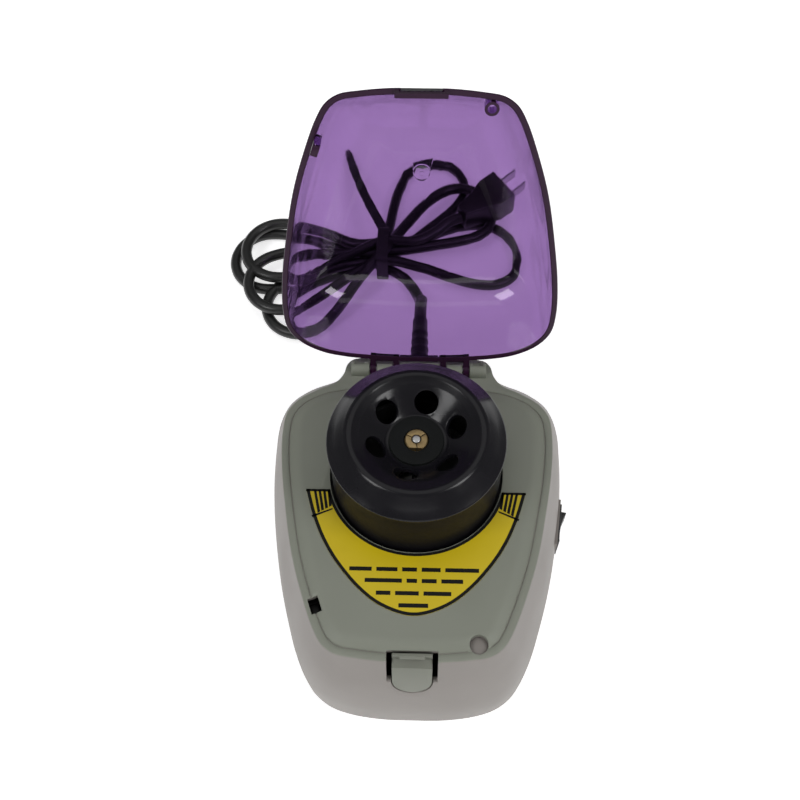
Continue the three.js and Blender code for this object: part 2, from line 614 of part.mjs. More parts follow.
const magnetBottom = capTop + 6;
const magnetTop = CAN_TOP - BEARING_WIDTH - 2;
const MAGNET_THICKNESS = 3.4;
const AIR_GAP = 0.7;
const magnetOuter = MOTOR_RADIUS - MOTOR_WALL - GAP;
for (const [name, start] of [['motor_magnet_1', -65], ['motor_magnet_2', 115]]) {
  const from = THREE.MathUtils.degToRad(start);
  const to = THREE.MathUtils.degToRad(start + 130);
  const shape = new THREE.Shape();
  shape.absarc(0, 0, magnetOuter, from, to, false);
  shape.absarc(0, 0, magnetOuter - MAGNET_THICKNESS, to, from, true);
  addPiece(name, plate(shape, magnetBottom, magnetTop, 10).translate(0, ROTOR_Y, 0), ferrite);
}

const COMMUTATOR_RADIUS = 4.6;
const brushZ = capTop + 2.5;
for (const [name, side] of [['motor_brush_1', -1], ['motor_brush_2', 1]]) {
  const inner = COMMUTATOR_RADIUS + GAP;
  const brush = block([inner, -1.6, brushZ - 1.6], [inner + 4, 1.6, brushZ + 1.6]);
  brush.rotateZ(side < 0 ? Math.PI : 0).translate(0, ROTOR_Y, 0);
  addPiece(name, brush, ferrite);
}

// ---------------------------------------------------------------- spinning set

const spinner = new THREE.Group();
spinner.position.y = ROTOR_Y;
machine.add(spinner);

const HUB_TOP = ROTOR_TOP - ROTOR_DISH_DEPTH + HUB_DISC_RISE;
const COLLET_TOP = HUB_TOP + 0.6;
const SHAFT_TOP = COLLET_TOP + 0.4;
const SHAFT_BOTTOM = CAN_BOTTOM + 1 + GAP + 0.2;
addPiece('motor_shaft', turned([
  [0, SHAFT_BOTTOM], [SHAFT_RADIUS, SHAFT_BOTTOM], [SHAFT_RADIUS, SHAFT_TOP - 0.4],
  [SHAFT_RADIUS - 0.4, SHAFT_TOP], [0, SHAFT_TOP],
], 0, 0, 16), steel, spinner);

const armatureRadius = magnetOuter - MAGNET_THICKNESS - AIR_GAP;
let armature = solid(turned([
  [SHAFT_RADIUS + GAP, magnetBottom], [armatureRadius, magnetBottom],
  [armatureRadius, magnetTop], [SHAFT_RADIUS + GAP, magnetTop],
], 0, 0, 24));
for (let i = 0; i < 3; i++) {
  const winding = block([armatureRadius - 3, -0.9, magnetBottom - 1], [armatureRadius + 1, 0.9, magnetTop + 1]);
  armature = armature.subtract(solid(winding.rotateZ((i * 2 * Math.PI) / 3)));
}
addPiece('motor_armature', armature, copper, spinner);
addPiece('motor_commutator', turned([
  [SHAFT_RADIUS + GAP, capTop + GAP], [COMMUTATOR_RADIUS, capTop + GAP],
  [COMMUTATOR_RADIUS, magnetBottom - GAP], [SHAFT_RADIUS + GAP, magnetBottom - GAP],
], 0, 0, 16), copper, spinner);

// Split collet that grips the shaft and centres the rotor
let collet = solid(turned([
  [SHAFT_RADIUS + GAP, COLLET_TOP - COLLET_LENGTH], [COLLET_RADIUS, COLLET_TOP - COLLET_LENGTH],
  [COLLET_RADIUS, COLLET_TOP - 0.5], [COLLET_RADIUS - 0.5, COLLET_TOP], [SHAFT_RADIUS + GAP, COLLET_TOP],
], 0, 0, 20));
for (const degrees of [35, 155, 275]) {
  const slit = block([SHAFT_RADIUS, -0.2, COLLET_TOP - 8], [COLLET_RADIUS + 1, 0.2, COLLET_TOP + 1]);
  collet = collet.subtract(solid(slit.rotateZ(THREE.MathUtils.degToRad(degrees))));
}
const flat = block([-6, -COLLET_RADIUS - 1, COLLET_TOP - 3], [6, -COLLET_RADIUS + 0.9, COLLET_TOP + 1]);
collet = collet.subtract(solid(flat));
addPiece('rotor_collet', collet, brass, spinner);

// Rotor: rolled lip, outer cone, flange, skirt, inner dish and hub in one moulding
const dishFloor = ROTOR_TOP - ROTOR_DISH_DEPTH;
const slope = Math.tan(TUBE_TILT);
const dishFoot = HUB_DISC_RADIUS + 1.4;
const holeZ = dishFloor + (TUBE_PITCH_RADIUS - dishFoot) * slope + 0.1;
const flangeZ = ROTOR_TOP - 7.8;
const skirtBottom = PLATEAU_Z - ROTOR_REACH;
const boreRadius = COLLET_RADIUS + GAP;
const sleeveRadius = COLLET_RADIUS + 4.2;
const innerSkirt = SKIRT_RADIUS - ROTOR_WALL;
const wallDown = ROTOR_WALL / Math.cos(TUBE_TILT);
const dishRun = LIP_RADIUS - dishFoot - 8;
let rotor = solid(turned([
  [boreRadius, HUB_TOP - 13.5], [sleeveRadius, HUB_TOP - 13.5], [sleeveRadius, dishFloor - ROTOR_WALL],
  [dishFoot + 0.6, dishFloor - ROTOR_WALL], [dishFoot + dishRun + 1, dishFloor + dishRun * slope - wallDown + 0.6],
  [LIP_RADIUS - 4.5, ROTOR_TOP - 2.4], [LIP_RADIUS - 1.4, ROTOR_TOP - 2.8],
  [innerSkirt - 0.6, flangeZ - 0.9], [innerSkirt, flangeZ - 2], [innerSkirt, skirtBottom],
  [SKIRT_RADIUS, skirtBottom], [SKIRT_RADIUS, flangeZ - 1.1], [ROTOR_RADIUS, flangeZ - 0.7],
  [ROTOR_RADIUS, flangeZ + 0.1], [ROTOR_RADIUS - 0.5, flangeZ + 0.6], [LIP_RADIUS + 0.5, ROTOR_TOP - 1.3],
  [LIP_RADIUS - 0.8, ROTOR_TOP - 0.3], [LIP_RADIUS - 2.6, ROTOR_TOP], [LIP_RADIUS - 4.8, ROTOR_TOP - 0.4],
  [LIP_RADIUS - 6.8, ROTOR_TOP - 1.6], [dishFoot + dishRun, dishFloor + dishRun * slope],
  [dishFoot, dishFloor + 0.15], [HUB_DISC_RADIUS + 0.1, dishFloor], [HUB_DISC_RADIUS, HUB_TOP],
  [boreRadius, HUB_TOP],
], 0, 0, 36));
for (let i = 0; i < TUBE_COUNT; i++) {
  const hole = new THREE.CylinderGeometry(TUBE_HOLE_RADIUS, TUBE_HOLE_RADIUS, 11, 12);
  hole.rotateX(Math.PI / 2).rotateY(-TUBE_TILT).translate(TUBE_PITCH_RADIUS, 0, holeZ);
  rotor = rotor.subtract(solid(hole.rotateZ(TUBE_PHASE + (i * 2 * Math.PI) / TUBE_COUNT)));
}
addPiece('rotor', rotor, rotorBlack, spinner);

// ---------------------------------------------------------------- lid, shaped closed and swung open

const crown = new THREE.Vector3(0, LID_CROWN_Y, 0);

/** The dome over a rim: rounder and steeper at the hinge, long and sloping at the front. */
function dome(rim, rimZ, depth, shares, skirt) {
  const rings = [raised(rim, rimZ - skirt)];
  for (const share of shares) {
    rings.push(rim.map((p) => {
      const out = p.clone().sub(crown);
      const rearward = 0.5 + (0.5 * out.y) / out.length();
      const power = 2.4 + 2.6 * rearward;
      const root = 1.2 + 2.3 * rearward;
      const rise = depth * (1 - share ** power) ** (1 / root);
      return new THREE.Vector3(crown.x + out.x * share, crown.y + out.y * share, rimZ + rise);
    }));
  }
  return solid(lofted(rings));
}

const domeShares = [1, 0.99, 0.965, 0.92, 0.84, 0.7, 0.5, 0.25];
const outerDome = dome(lidOutline, LID_RIM_Z, LID_DEPTH, domeShares, 0);
const lidLimit = dome(lidOutline, LID_RIM_Z, LID_DEPTH, domeShares, 12);
const innerDome = dome(inset(lidOutline, LID_WALL + 0.3), LID_RIM_Z, LID_DEPTH - LID_WALL, domeShares, 3);
let lid = outerDome.subtract(innerDome);

// Catch bar on two legs under the front rim, with a notch over it
const barOuter = latchHalf - 0.4;
const barInner = TONGUE_HALF_WIDTH + 0.3;
const barTop = LID_RIM_Z - BAR_DROP + BAR_SIZE / 2;
for (const side of [-1, 1]) {
  const xs = [side * barInner, side * barOuter].sort((a, b) => a - b);
  lid = lid.add(solid(block([xs[0], barFront, barTop - BAR_SIZE], [xs[1], barBack, LID_RIM_Z + 1])));
}
lid = lid.add(solid(block([-barOuter, barFront, barTop - BAR_SIZE], [barOuter, barBack, barTop])));
const notchHalf = TONGUE_HALF_WIDTH - 0.3;
lid = lid.subtract(solid(block([-notchHalf, -F - 5, barTop + 0.1], [notchHalf, -F + 3.2, LID_RIM_Z + 3])));

// Ring boss over the deck's pocket
const BOSS_RADIUS = POCKET.radius - 0.45;
const bossShell = solid(rod(BOSS_RADIUS, POCKET.x, POCKET.y, POCKET_FLOOR + 0.8, LID_RIM_Z + 14));
const bossBore = solid(rod(BOSS_RADIUS - 1.2, POCKET.x, POCKET.y, POCKET_FLOOR, LID_RIM_Z + 3, 16));
lid = lid.add(bossShell.intersect(lidLimit)).subtract(bossBore);

// Interlock tab at the left front
const TAB_END = DECK_HEIGHT - 7.5;
const tab = atInterlock(block([-1.9, -2.6, TAB_END], [1.3, 2.6, LID_RIM_Z + 10]));
lid = lid.add(solid(tab).intersect(lidLimit));

// Moulding gate on the dome, in front of its crown
const GATE = { radius: 4, y: -27.3, drop: 3.2 };
const gateZ = LID_RIM_Z + LID_DEPTH - LID_WALL;
lid = lid.add(solid(rod(GATE.radius, 0, GATE.y, gateZ - GATE.drop, gateZ + 1, 20)).intersect(lidLimit));

// Rear lip segments and the fingers round the hinge pin
const lipSegments = [[-24, -10], [-9.5, 9.5], [10, 24]];
for (const [x0, x1] of lipSegments) {
  lid = lid.add(solid(block([x0, LID_REAR - 2.6, LID_RIM_Z + 1], [x1, LID_REAR + 0.9, LID_RIM_Z + 3.6])));
}
for (const x of FINGER_CENTRES) {
  const [x0, x1] = [x - FINGER_WIDTH / 2, x + FINGER_WIDTH / 2];
  lid = lid.add(solid(barX(FINGER_RADIUS, x0, x1, HINGE_Y, HINGE_Z)));
  lid = lid.add(solid(block([x0, LID_REAR - 2.6, LID_RIM_Z], [x1, HINGE_Y, HINGE_Z + FINGER_RADIUS])));
}
lid = lid.subtract(solid(barX(PIN_RADIUS + GAP, -hingeReach, hingeReach, HINGE_Y, HINGE_Z)));

const lidSwing = new THREE.Group();
lidSwing.position.set(0, HINGE_Y, HINGE_Z);
lidSwing.rotation.x = -LID_OPEN_ANGLE;
machine.add(lidSwing);
const lidMesh = addPiece('lid', lid, lidPurple, lidSwing);
lidMesh.position.set(0, -HINGE_Y, -HINGE_Z);

addPiece('hinge_pin', barX(PIN_RADIUS, -hingeReach + 2, hingeReach - 2, HINGE_Y, HINGE_Z, 16), steel);

// ---------------------------------------------------------------- front latch tongue

const tongueTop = DECK_HEIGHT - 0.2;
const tongueBottom = LATCH_SLOT_BOTTOM - TONGUE_HALF_WIDTH;
const recessZ = barTop - BAR_SIZE - 1.2;
const tongueSection = new THREE.Shape();
tongueSection.moveTo(frontWallY(tongueBottom), tongueBottom);
tongueSection.lineTo(frontWallY(recessZ), recessZ);
tongueSection.lineTo(recessFace, recessZ + 0.6);
tongueSection.lineTo(recessFace, barTop + GAP);
tongueSection.lineTo(recessFace - 1.3, barTop + GAP);
tongueSection.lineTo(recessFace - 0.3, tongueTop);
tongueSection.lineTo(tongueBack, tongueTop);
tongueSection.lineTo(tongueBack, recessZ - 1.5);
tongueSection.lineTo(frontWallY(tongueBottom) + TONGUE_THICKNESS, tongueBottom);
const tongueBlank = new THREE.ExtrudeGeometry(tongueSection, {
  depth: 2 * TONGUE_HALF_WIDTH, bevelEnabled: false,
});
// The section is drawn in Y and Z, so its axes are turned round to stand along X.
tongueBlank.applyMatrix4(new THREE.Matrix4().set(0, 0, 1, -TONGUE_HALF_WIDTH, 1, 0, 0, 0, 0, 1, 0, 0, 0, 0, 0, 1));
const tongueFace = solid(barY(TONGUE_HALF_WIDTH, 0, -BODY_FRONT - 5, -F + 10, LATCH_SLOT_BOTTOM, 24))
  .add(solid(block([-TONGUE_HALF_WIDTH, -BODY_FRONT - 5, LATCH_SLOT_BOTTOM], [TONGUE_HALF_WIDTH, -F + 10, DECK_HEIGHT])));
let tongue = solid(tongueBlank).intersect(tongueFace);
for (const side of [-1, 1]) {
  const xs = [side * RIDGE_HALF_WIDTH, side * (TONGUE_HALF_WIDTH + 1)].sort((a, b) => a - b);
  tongue = tongue.subtract(solid(block([xs[0], -BODY_FRONT, recessZ + 0.7], [xs[1], recessFace, DECK_HEIGHT + 1])));
}
addPiece('latch_tongue', tongue, housingPlastic);

// ---------------------------------------------------------------- power switch

machine.add(switchGroup);
const FLANGE = 1.4;
const wellY = bodyY - 0.9;
const wellZ = bodyZ - 0.9;
const switchBody = solid(block([-14, -bodyY, -bodyZ], [GAP + 0.5, bodyY, bodyZ]))
  .add(solid(block([GAP, -SWITCH_LENGTH / 2, -SWITCH_HEIGHT / 2], [GAP + FLANGE, SWITCH_LENGTH / 2, SWITCH_HEIGHT / 2])))
  .subtract(solid(block([-8, -wellY, -wellZ], [GAP + FLANGE + 1, wellY, wellZ])));
addPiece('switch_body', switchBody, blackPlastic, switchGroup);

const ROCKER_PIVOT = -1.5; // behind the land
const rockerEnd = wellY - 0.8;
const rockerShape = new THREE.Shape();
rockerShape.moveTo(3.4 - ROCKER_PIVOT, rockerEnd);
rockerShape.lineTo(-1 - ROCKER_PIVOT, rockerEnd - 0.4);
rockerShape.lineTo(-4.2 - ROCKER_PIVOT, 0);
rockerShape.lineTo(-1 - ROCKER_PIVOT, -rockerEnd + 0.4);
rockerShape.lineTo(3.4 - ROCKER_PIVOT, -rockerEnd);
rockerShape.quadraticCurveTo(1.2 - ROCKER_PIVOT, 0, 3.4 - ROCKER_PIVOT, rockerEnd);
const rocker = addPiece('power_rocker', plate(rockerShape, -wellZ + 0.4, wellZ - 0.4, 8), blackPlastic, switchGroup);
rocker.position.x = ROCKER_PIVOT;
rocker.rotation.z = -ROCKER_SWING;

// ---------------------------------------------------------------- lid interlock switch

const interlock = new THREE.Group();
interlock.position.set(INTERLOCK_X, INTERLOCK_Y, 0);
interlock.rotation.z = INTERLOCK_TURN;
machine.add(interlock);
const plungerTop = TAB_END - GAP;
const interlockTop = plungerTop - 1.5;
const interlockFloor = TAB_END - 10.5;
const interlockBody = solid(block([-3.6, -6.5, interlockFloor], [5, 7, interlockTop]))
  .subtract(solid(block([-2.6, -4, interlockFloor + 1], [2.6, 4, interlockTop + 1])));
addPiece('interlock_switch', interlockBody, blackPlastic, interlock);
const plunger = block([-1.9, -3.2, plungerTop - 5.5], [1.9, 3.2, plungerTop]);
addPiece('interlock_plunger', plunger, blackPlastic, interlock);

// ---------------------------------------------------------------- power electronics

const BOARD = { x0: -0.82 * B, x1: -0.82 * B + 34, y0: -31, y1: 27, z: BASE_TOP + 6, thickness: 1.6 };
const boardTop = BOARD.z + BOARD.thickness;
let board = solid(block([BOARD.x0, BOARD.y0, BOARD.z], [BOARD.x1, BOARD.y1, boardTop]));
for (const [x, y] of [[BOARD.x0 + 4, BOARD.y0 + 4], [BOARD.x1 - 4, BOARD.y1 - 4]]) {
  board = board.add(solid(rod(2.5, x, y, BASE_TOP + GAP, BOARD.z + 0.2, 12)));
}
addPiece('power_board', board, boardGreen);
const onBoard = boardTop + GAP;
const core = solid(block([BOARD.x0 + 5, -23, onBoard], [BOARD.x1 - 4, 3, onBoard + 22]))
  .add(solid(block([BOARD.x0 + 8, -27, onBoard + 3], [BOARD.x1 - 7, 7, onBoard + 19])));
addPiece('transformer', core, ferrite);
addPiece('filter_capacitor', turned([
  [0, onBoard], [6.3, onBoard], [6.3, onBoard + 19], [5.6, onBoard + 20], [0, onBoard + 20],
], BOARD.x0 + 10, 17, 16), blackPlastic);
addPiece('fuse', barY(2.6, BOARD.x1 - 6, 9.5, 23, onBoard + 2.8, 12), steel);

const WIRE = 2.4;
const reliefInner = reliefLandY - 10;
addPiece('supply_wire', tube([
  [0, reliefInner - GAP, CORD_EXIT_Z], [0, reliefInner - 5, CORD_EXIT_Z], [-14, 52, 38],
  [-33, 43, 24], [-38, 36, 17], [-38, 29.5, 13],
], WIRE * 1.5, 14, 8), cordBlack);
addPiece('switch_wire', tube([
  [switchX - 16.5, SWITCH_Y, SWITCH_Z], [switchX - 22, SWITCH_Y - 4, 22], [30, -30, 11], [0, -38, 9],
  [-20, -35, 10], [BOARD.x1 - 3, BOARD.y0 - 1.5, BOARD.z + 1],
], WIRE, 18, 6), wireRed);
addPiece('motor_wire', tube([
  [-10, ROTOR_Y - 9, CAN_BOTTOM - 1.6], [-MOTOR_RADIUS - 1, -10, BASE_TOP + 1.8],
  [BOARD.x1 + 3, -13, BASE_TOP + 2.6], [BOARD.x1 + 1.7, -15, boardTop],
], WIRE * 0.8, 10, 6), wireRed);

// ---------------------------------------------------------------- mains lead

const reliefEnd = reliefLandY + RELIEF_LENGTH;
const CORD_RADIUS = CORD_DIAMETER / 2;
const reliefSection = [
  [0, -10], [RELIEF_NECK + 1.4, -10], [RELIEF_NECK + 1.4, -8], [RELIEF_NECK, -7.4], [RELIEF_NECK, GAP],
  [6, GAP], [6, 3], [RELIEF_NECK - 0.2, 4], [CORD_RADIUS + 0.7, RELIEF_LENGTH], [0, RELIEF_LENGTH],
];
const relief = turned(reliefSection, 0, 0, 20);
relief.rotateX(-Math.PI / 2).translate(0, reliefLandY, CORD_EXIT_Z);
addPiece('cord_relief', relief, cordBlack);

// The lead leaves level, bends down to the bench and turns left into the tied hank.
const leadPoints = [
  [0, reliefEnd + GAP, CORD_EXIT_Z], [0, reliefEnd + 4, CORD_EXIT_Z - 0.1],
  [0.1, reliefEnd + 10.8, CORD_EXIT_Z - 2], [0.3, reliefEnd + 18.1, CORD_EXIT_Z - 6.4],
  [0.4, reliefEnd + 24.5, CORD_EXIT_Z - 13.8], [0.3, reliefEnd + 29.5, CORD_EXIT_Z - 22.4],
  [0, reliefEnd + 34.3, CORD_EXIT_Z - 30.6], [-0.6, reliefEnd + 40.5, 10], [-2.2, reliefEnd + 48.7, 5.2],
  [TIE_X + 17.8, TIE_Y - 19.8, 3.6], [TIE_X + 12, TIE_Y - 12.2, 3.5],
];
addPiece('cord_lead', tube(leadPoints, CORD_DIAMETER, 26), cordBlack);

// Lobes of the hank, each leaving the tie towards `toward` degrees and coming back beside itself
const lobes = [
  { toward: 181, length: 91, width: 21.5, height: 8 },
  { toward: 64, length: 92, width: 21, height: 8 },
  { toward: 178, length: 84, width: 21, height: 15 },
  { toward: 6, length: 88, width: 25, height: 8 },
  { toward: 200, length: 84, width: 21, height: 15 },
  { toward: 36, length: 82, width: 21, height: 15 },
  { toward: 216, length: 80, width: 20.5, height: 15 },
];
const WAIST = { half: 12, bottom: 2.3, top: 20.8, length: 16 };

/** The outline round one lobe: narrow at the tie, round at its end. */
function lobeShape({ length, width }) {
  const reach = length + CORD_RADIUS + 0.4;
  const half = width + CORD_RADIUS + 0.4;
  const bend = reach - half;
  const side = [[0, 8], [0.3 * bend, 11], [0.65 * bend, 0.82 * half]];
  for (let k = 6; k >= 0; k--) {
    const turn = (k / 6) * (Math.PI / 2);
    side.push([bend + half * Math.cos(turn), half * Math.sin(turn)]);
  }
  const shape = new THREE.Shape();
  side.forEach(([s, p], i) => (i === 0 ? shape.moveTo(s, p) : shape.lineTo(s, p)));
  side.slice(0, -1).reverse().forEach(([s, p]) => shape.lineTo(s, -p));
  return shape;
}

let hank = solid(block(
  [TIE_X - WAIST.length / 2, TIE_Y - WAIST.half, WAIST.bottom],
  [TIE_X + WAIST.length / 2, TIE_Y + WAIST.half, WAIST.top],
));
for (const lobe of lobes) {
  const petal = plate(lobeShape(lobe), 0.1, lobe.height);
  hank = hank.add(solid(petal.rotateZ(THREE.MathUtils.degToRad(lobe.toward)).translate(TIE_X, TIE_Y, 0)));
}

// Plug lying on the hank, its blades pointing away to the right
const PLUG = {
  x: 40, y: 217, z: 19.5, turn: THREE.MathUtils.degToRad(38), length: 40, width: 25, height: 15,
};
function atPlug(geometry) {
  return geometry.rotateZ(PLUG.turn).translate(PLUG.x, PLUG.y, PLUG.z);
}
const plugHalf = PLUG.length / 2;
const plugOutline = new THREE.Shape();
plugOutline.moveTo(plugHalf, -PLUG.width / 2);
plugOutline.lineTo(plugHalf, PLUG.width / 2);
plugOutline.lineTo(plugHalf - 14, PLUG.width / 2 - 0.5);
plugOutline.lineTo(-plugHalf + 14, PLUG.width / 2 - 5);
plugOutline.lineTo(-plugHalf, CORD_RADIUS + 1);
plugOutline.lineTo(-plugHalf, -CORD_RADIUS - 1);
plugOutline.lineTo(-plugHalf + 14, -PLUG.width / 2 + 5);
plugOutline.lineTo(plugHalf - 14, -PLUG.width / 2 + 0.5);
const BLADE = { thickness: 1.5, width: 6.3, length: 17.5, spacing: 12.7, root: 4 };
let plugBody = solid(atPlug(plate(plugOutline, -PLUG.height / 2, PLUG.height / 2)));
const bladeSides = [-1, 1];
function bladeBlock(side, clearance) {
  const y = (side * BLADE.spacing) / 2;
  const half = BLADE.thickness / 2 + clearance;
  const tall = BLADE.width / 2 + clearance;
  return atPlug(block(
    [plugHalf - BLADE.root - clearance, y - half, -tall],
    [plugHalf + BLADE.length, y + half, tall],
  ));
}
for (const side of bladeSides) {
  plugBody = plugBody.subtract(solid(bladeBlock(side, GAP)));
}
addPiece('plug_body', plugBody, blackPlastic);
bladeSides.forEach((side, i) => addPiece(`plug_blade_${i + 1}`, bladeBlock(side, 0), steel));

// Strap round the waist with its long free tail on the bench
const STRAP = { width: 7, thickness: 1.6, tailWidth: 6, tailLength: 92 };
const strapOuter = block(
  [TIE_X - STRAP.width / 2, TIE_Y - WAIST.half - GAP - STRAP.thickness, WAIST.bottom - GAP - STRAP.thickness],
  [TIE_X + STRAP.width / 2, TIE_Y + WAIST.half + GAP + STRAP.thickness, WAIST.top + GAP + STRAP.thickness],
);
const strapInner = block(
  [TIE_X - STRAP.width, TIE_Y - WAIST.half - GAP, WAIST.bottom - GAP],
  [TIE_X + STRAP.width, TIE_Y + WAIST.half + GAP, WAIST.top + GAP],
);
const tailTurn = THREE.MathUtils.degToRad(112);
const tailDrop = Math.asin((WAIST.top - 2.5) / STRAP.tailLength);
const tail = block([0, -STRAP.tailWidth / 2, -STRAP.thickness], [STRAP.tailLength, STRAP.tailWidth / 2, 0]);
tail.rotateY(tailDrop).rotateZ(tailTurn);
tail.translate(TIE_X, TIE_Y + WAIST.half + GAP + STRAP.thickness + 0.2, WAIST.top);
const tailSolid = solid(tail);
const tie = solid(strapOuter).subtract(solid(strapInner)).add(tailSolid);
addPiece('cord_tie', tie, blackPlastic);

const strapRoom = block(
  [TIE_X - STRAP.width / 2 - GAP, TIE_Y - 40, 0],
  [TIE_X + STRAP.width / 2 + GAP, TIE_Y + 40, WAIST.top + 5],
);
const waistCore = block(
  [TIE_X - STRAP.width, TIE_Y - WAIST.half, WAIST.bottom],
  [TIE_X + STRAP.width, TIE_Y + WAIST.half, WAIST.top],
);
hank = hank.subtract(solid(strapRoom)).add(solid(waistCore));
const plugRoom = atPlug(block(
  [-plugHalf - GAP, -PLUG.width / 2 - GAP, -PLUG.height / 2 - GAP],
  [plugHalf + BLADE.length + GAP, PLUG.width / 2 + GAP, PLUG.height / 2 + 8],
));
hank = hank.subtract(solid(plugRoom));
const leadEnd = new THREE.Vector3(...leadPoints.at(-1));
const beforeEnd = new THREE.Vector3(...leadPoints.at(-2));
const leadRoom = block([-CORD_RADIUS - GAP, -14, -4], [CORD_RADIUS + GAP, GAP, CORD_RADIUS + 40]);
const leadHeading = Math.atan2(leadEnd.y - beforeEnd.y, leadEnd.x - beforeEnd.x) - Math.PI / 2;
hank = hank.subtract(solid(leadRoom.rotateZ(leadHeading).translate(leadEnd.x, leadEnd.y, leadEnd.z)));
addPiece('cord_hank', hank, cordBlack);

// ---------------------------------------------------------------- frame

// The origin is under the middle of the machine, without its lead, on the surface it stands on.
const leadPieces = new Set(['cord_lead', 'cord_hank', 'cord_tie', 'plug_body', 'plug_blade_1', 'plug_blade_2']);
machine.updateMatrixWorld(true);
const extent = new THREE.Box3();
machine.traverse((piece) => {
  if (piece.isMesh && !leadPieces.has(piece.name)) extent.expandByObject(piece, true);
});
const middle = extent.getCenter(new THREE.Vector3());
machine.position.set(-middle.x, -middle.y, 0);

export default machine;
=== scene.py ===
import math

import bmesh
import bpy
from mathutils import Matrix, Vector


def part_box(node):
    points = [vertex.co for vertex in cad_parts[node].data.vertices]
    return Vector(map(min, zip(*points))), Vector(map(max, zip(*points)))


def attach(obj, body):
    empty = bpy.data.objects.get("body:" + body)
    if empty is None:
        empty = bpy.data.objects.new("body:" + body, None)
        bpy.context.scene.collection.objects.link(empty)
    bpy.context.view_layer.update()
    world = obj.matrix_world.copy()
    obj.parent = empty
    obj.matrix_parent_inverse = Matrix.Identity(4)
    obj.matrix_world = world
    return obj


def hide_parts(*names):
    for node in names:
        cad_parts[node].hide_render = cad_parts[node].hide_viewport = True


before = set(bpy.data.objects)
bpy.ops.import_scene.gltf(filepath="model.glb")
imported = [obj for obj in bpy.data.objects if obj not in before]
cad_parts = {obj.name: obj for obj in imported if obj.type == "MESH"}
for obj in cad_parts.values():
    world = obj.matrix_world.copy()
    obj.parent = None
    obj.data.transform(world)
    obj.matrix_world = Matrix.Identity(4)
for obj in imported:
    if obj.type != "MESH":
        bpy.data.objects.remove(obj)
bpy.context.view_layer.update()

# ---------------------------------------------------------------- camera
# Drawing positions are millimetres from the lid's centre line and the rotor's axis,
# which stands 1.2 in front of the drawing's origin, with the bench at z = 0.

MM = 0.001
ROTOR_Y = 1.2
rotor_low, rotor_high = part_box("rotor")
DATUM = Vector(((rotor_low.x + rotor_high.x) / 2, (rotor_low.y + rotor_high.y) / 2 - ROTOR_Y * MM, 0))


def place(x, y, z):
    """A drawing position in millimetres, as metres in the frame."""
    return DATUM + Vector((x, y, z)) * MM


def look_from(target, azimuth, elevation, roll, distance):
    """The matrix of a camera that looks at a target from a given side, height and roll."""
    a, e, r = math.radians(azimuth), math.radians(elevation), math.radians(roll)
    back = Vector((math.sin(a) * math.cos(e), -math.cos(a) * math.cos(e), math.sin(e)))
    right = Vector((math.cos(a), math.sin(a), 0))
    up = back.cross(right)
    turned_right = right * math.cos(r) + up * math.sin(r)
    turned_up = up * math.cos(r) - right * math.sin(r)
    matrix = Matrix((turned_right, turned_up, back)).transposed().to_4x4()
    matrix.translation = target + back * distance
    return matrix


LENS, SENSOR = 45.5, 36
SHIFT_ACROSS, SHIFT_UP = -0.015, 0.0184
CAMERA_TARGET = (-2.605, 27.608, 80)
CAMERA_AZIMUTH, CAMERA_ELEVATION, CAMERA_ROLL = 1.62, 59.912, -0.379
CAMERA_DISTANCE = 481.54

camera_data = bpy.data.cameras.new("camera")
camera_data.lens = LENS
camera_data.sensor_width = SENSOR
camera_data.shift_x = SHIFT_ACROSS
camera_data.shift_y = SHIFT_UP
camera_data.dof.use_dof = False
camera_data.clip_start = 0.01
camera = bpy.data.objects.new("camera", camera_data)
bpy.context.scene.collection.objects.link(camera)
camera.matrix_world = look_from(place(*CAMERA_TARGET), CAMERA_AZIMUTH, CAMERA_ELEVATION, CAMERA_ROLL,
                                CAMERA_DISTANCE * MM)
bpy.context.scene.camera = camera

# ---------------------------------------------------------------- bench and lights
# A plain white bench that glows a little, two soft boxes at the sides, a wide one overhead and a
# low one in front. Sizes, places and levels here are in metres.

BENCH_SIZE = 9
BENCH_LEVEL = -0.0003
BENCH_GLOW = 0.66
ROOM_LIGHT = 0.2

def clear_selection():
    """Leaves edit mode and deselects everything."""
    if bpy.context.object and bpy.context.object.mode != "OBJECT":
        bpy.ops.object.mode_set(mode="OBJECT")
    bpy.ops.object.select_all(action="DESELECT")


clear_selection()
bpy.ops.mesh.primitive_plane_add(size=BENCH_SIZE, location=(0, 0, BENCH_LEVEL))
bench = bpy.context.object
bench.name = "bench"
bench_material = bpy.data.materials.new("bench_white")
bench_material.use_nodes = True
bench_shader = bench_material.node_tree.nodes["Principled BSDF"]
bench_shader.inputs["Base Color"].default_value = (0.93, 0.93, 0.93, 1)
bench_shader.inputs["Roughness"].default_value = 0.85
bench_shader.inputs["Emission Color"].default_value = (1, 1, 1, 1)
bench_shader.inputs["Emission Strength"].default_value = BENCH_GLOW
bench.data.materials.append(bench_material)


def soft_box(name, position, size, power, aim=(0, 0.02, 0.06)):
    """A rectangular lamp, in metres and watts, aimed at the middle of the object."""
    light_data = bpy.data.lights.new(name, "AREA")
    light_data.shape = "RECTANGLE"
    light_data.size, light_data.size_y = size
    light_data.energy = power
    light = bpy.data.objects.new(name, light_data)
    bpy.context.scene.collection.objects.link(light)
    light.location = position
    light.rotation_euler = (Vector(aim) - Vector(position)).to_track_quat("-Z", "Y").to_euler()
    return light


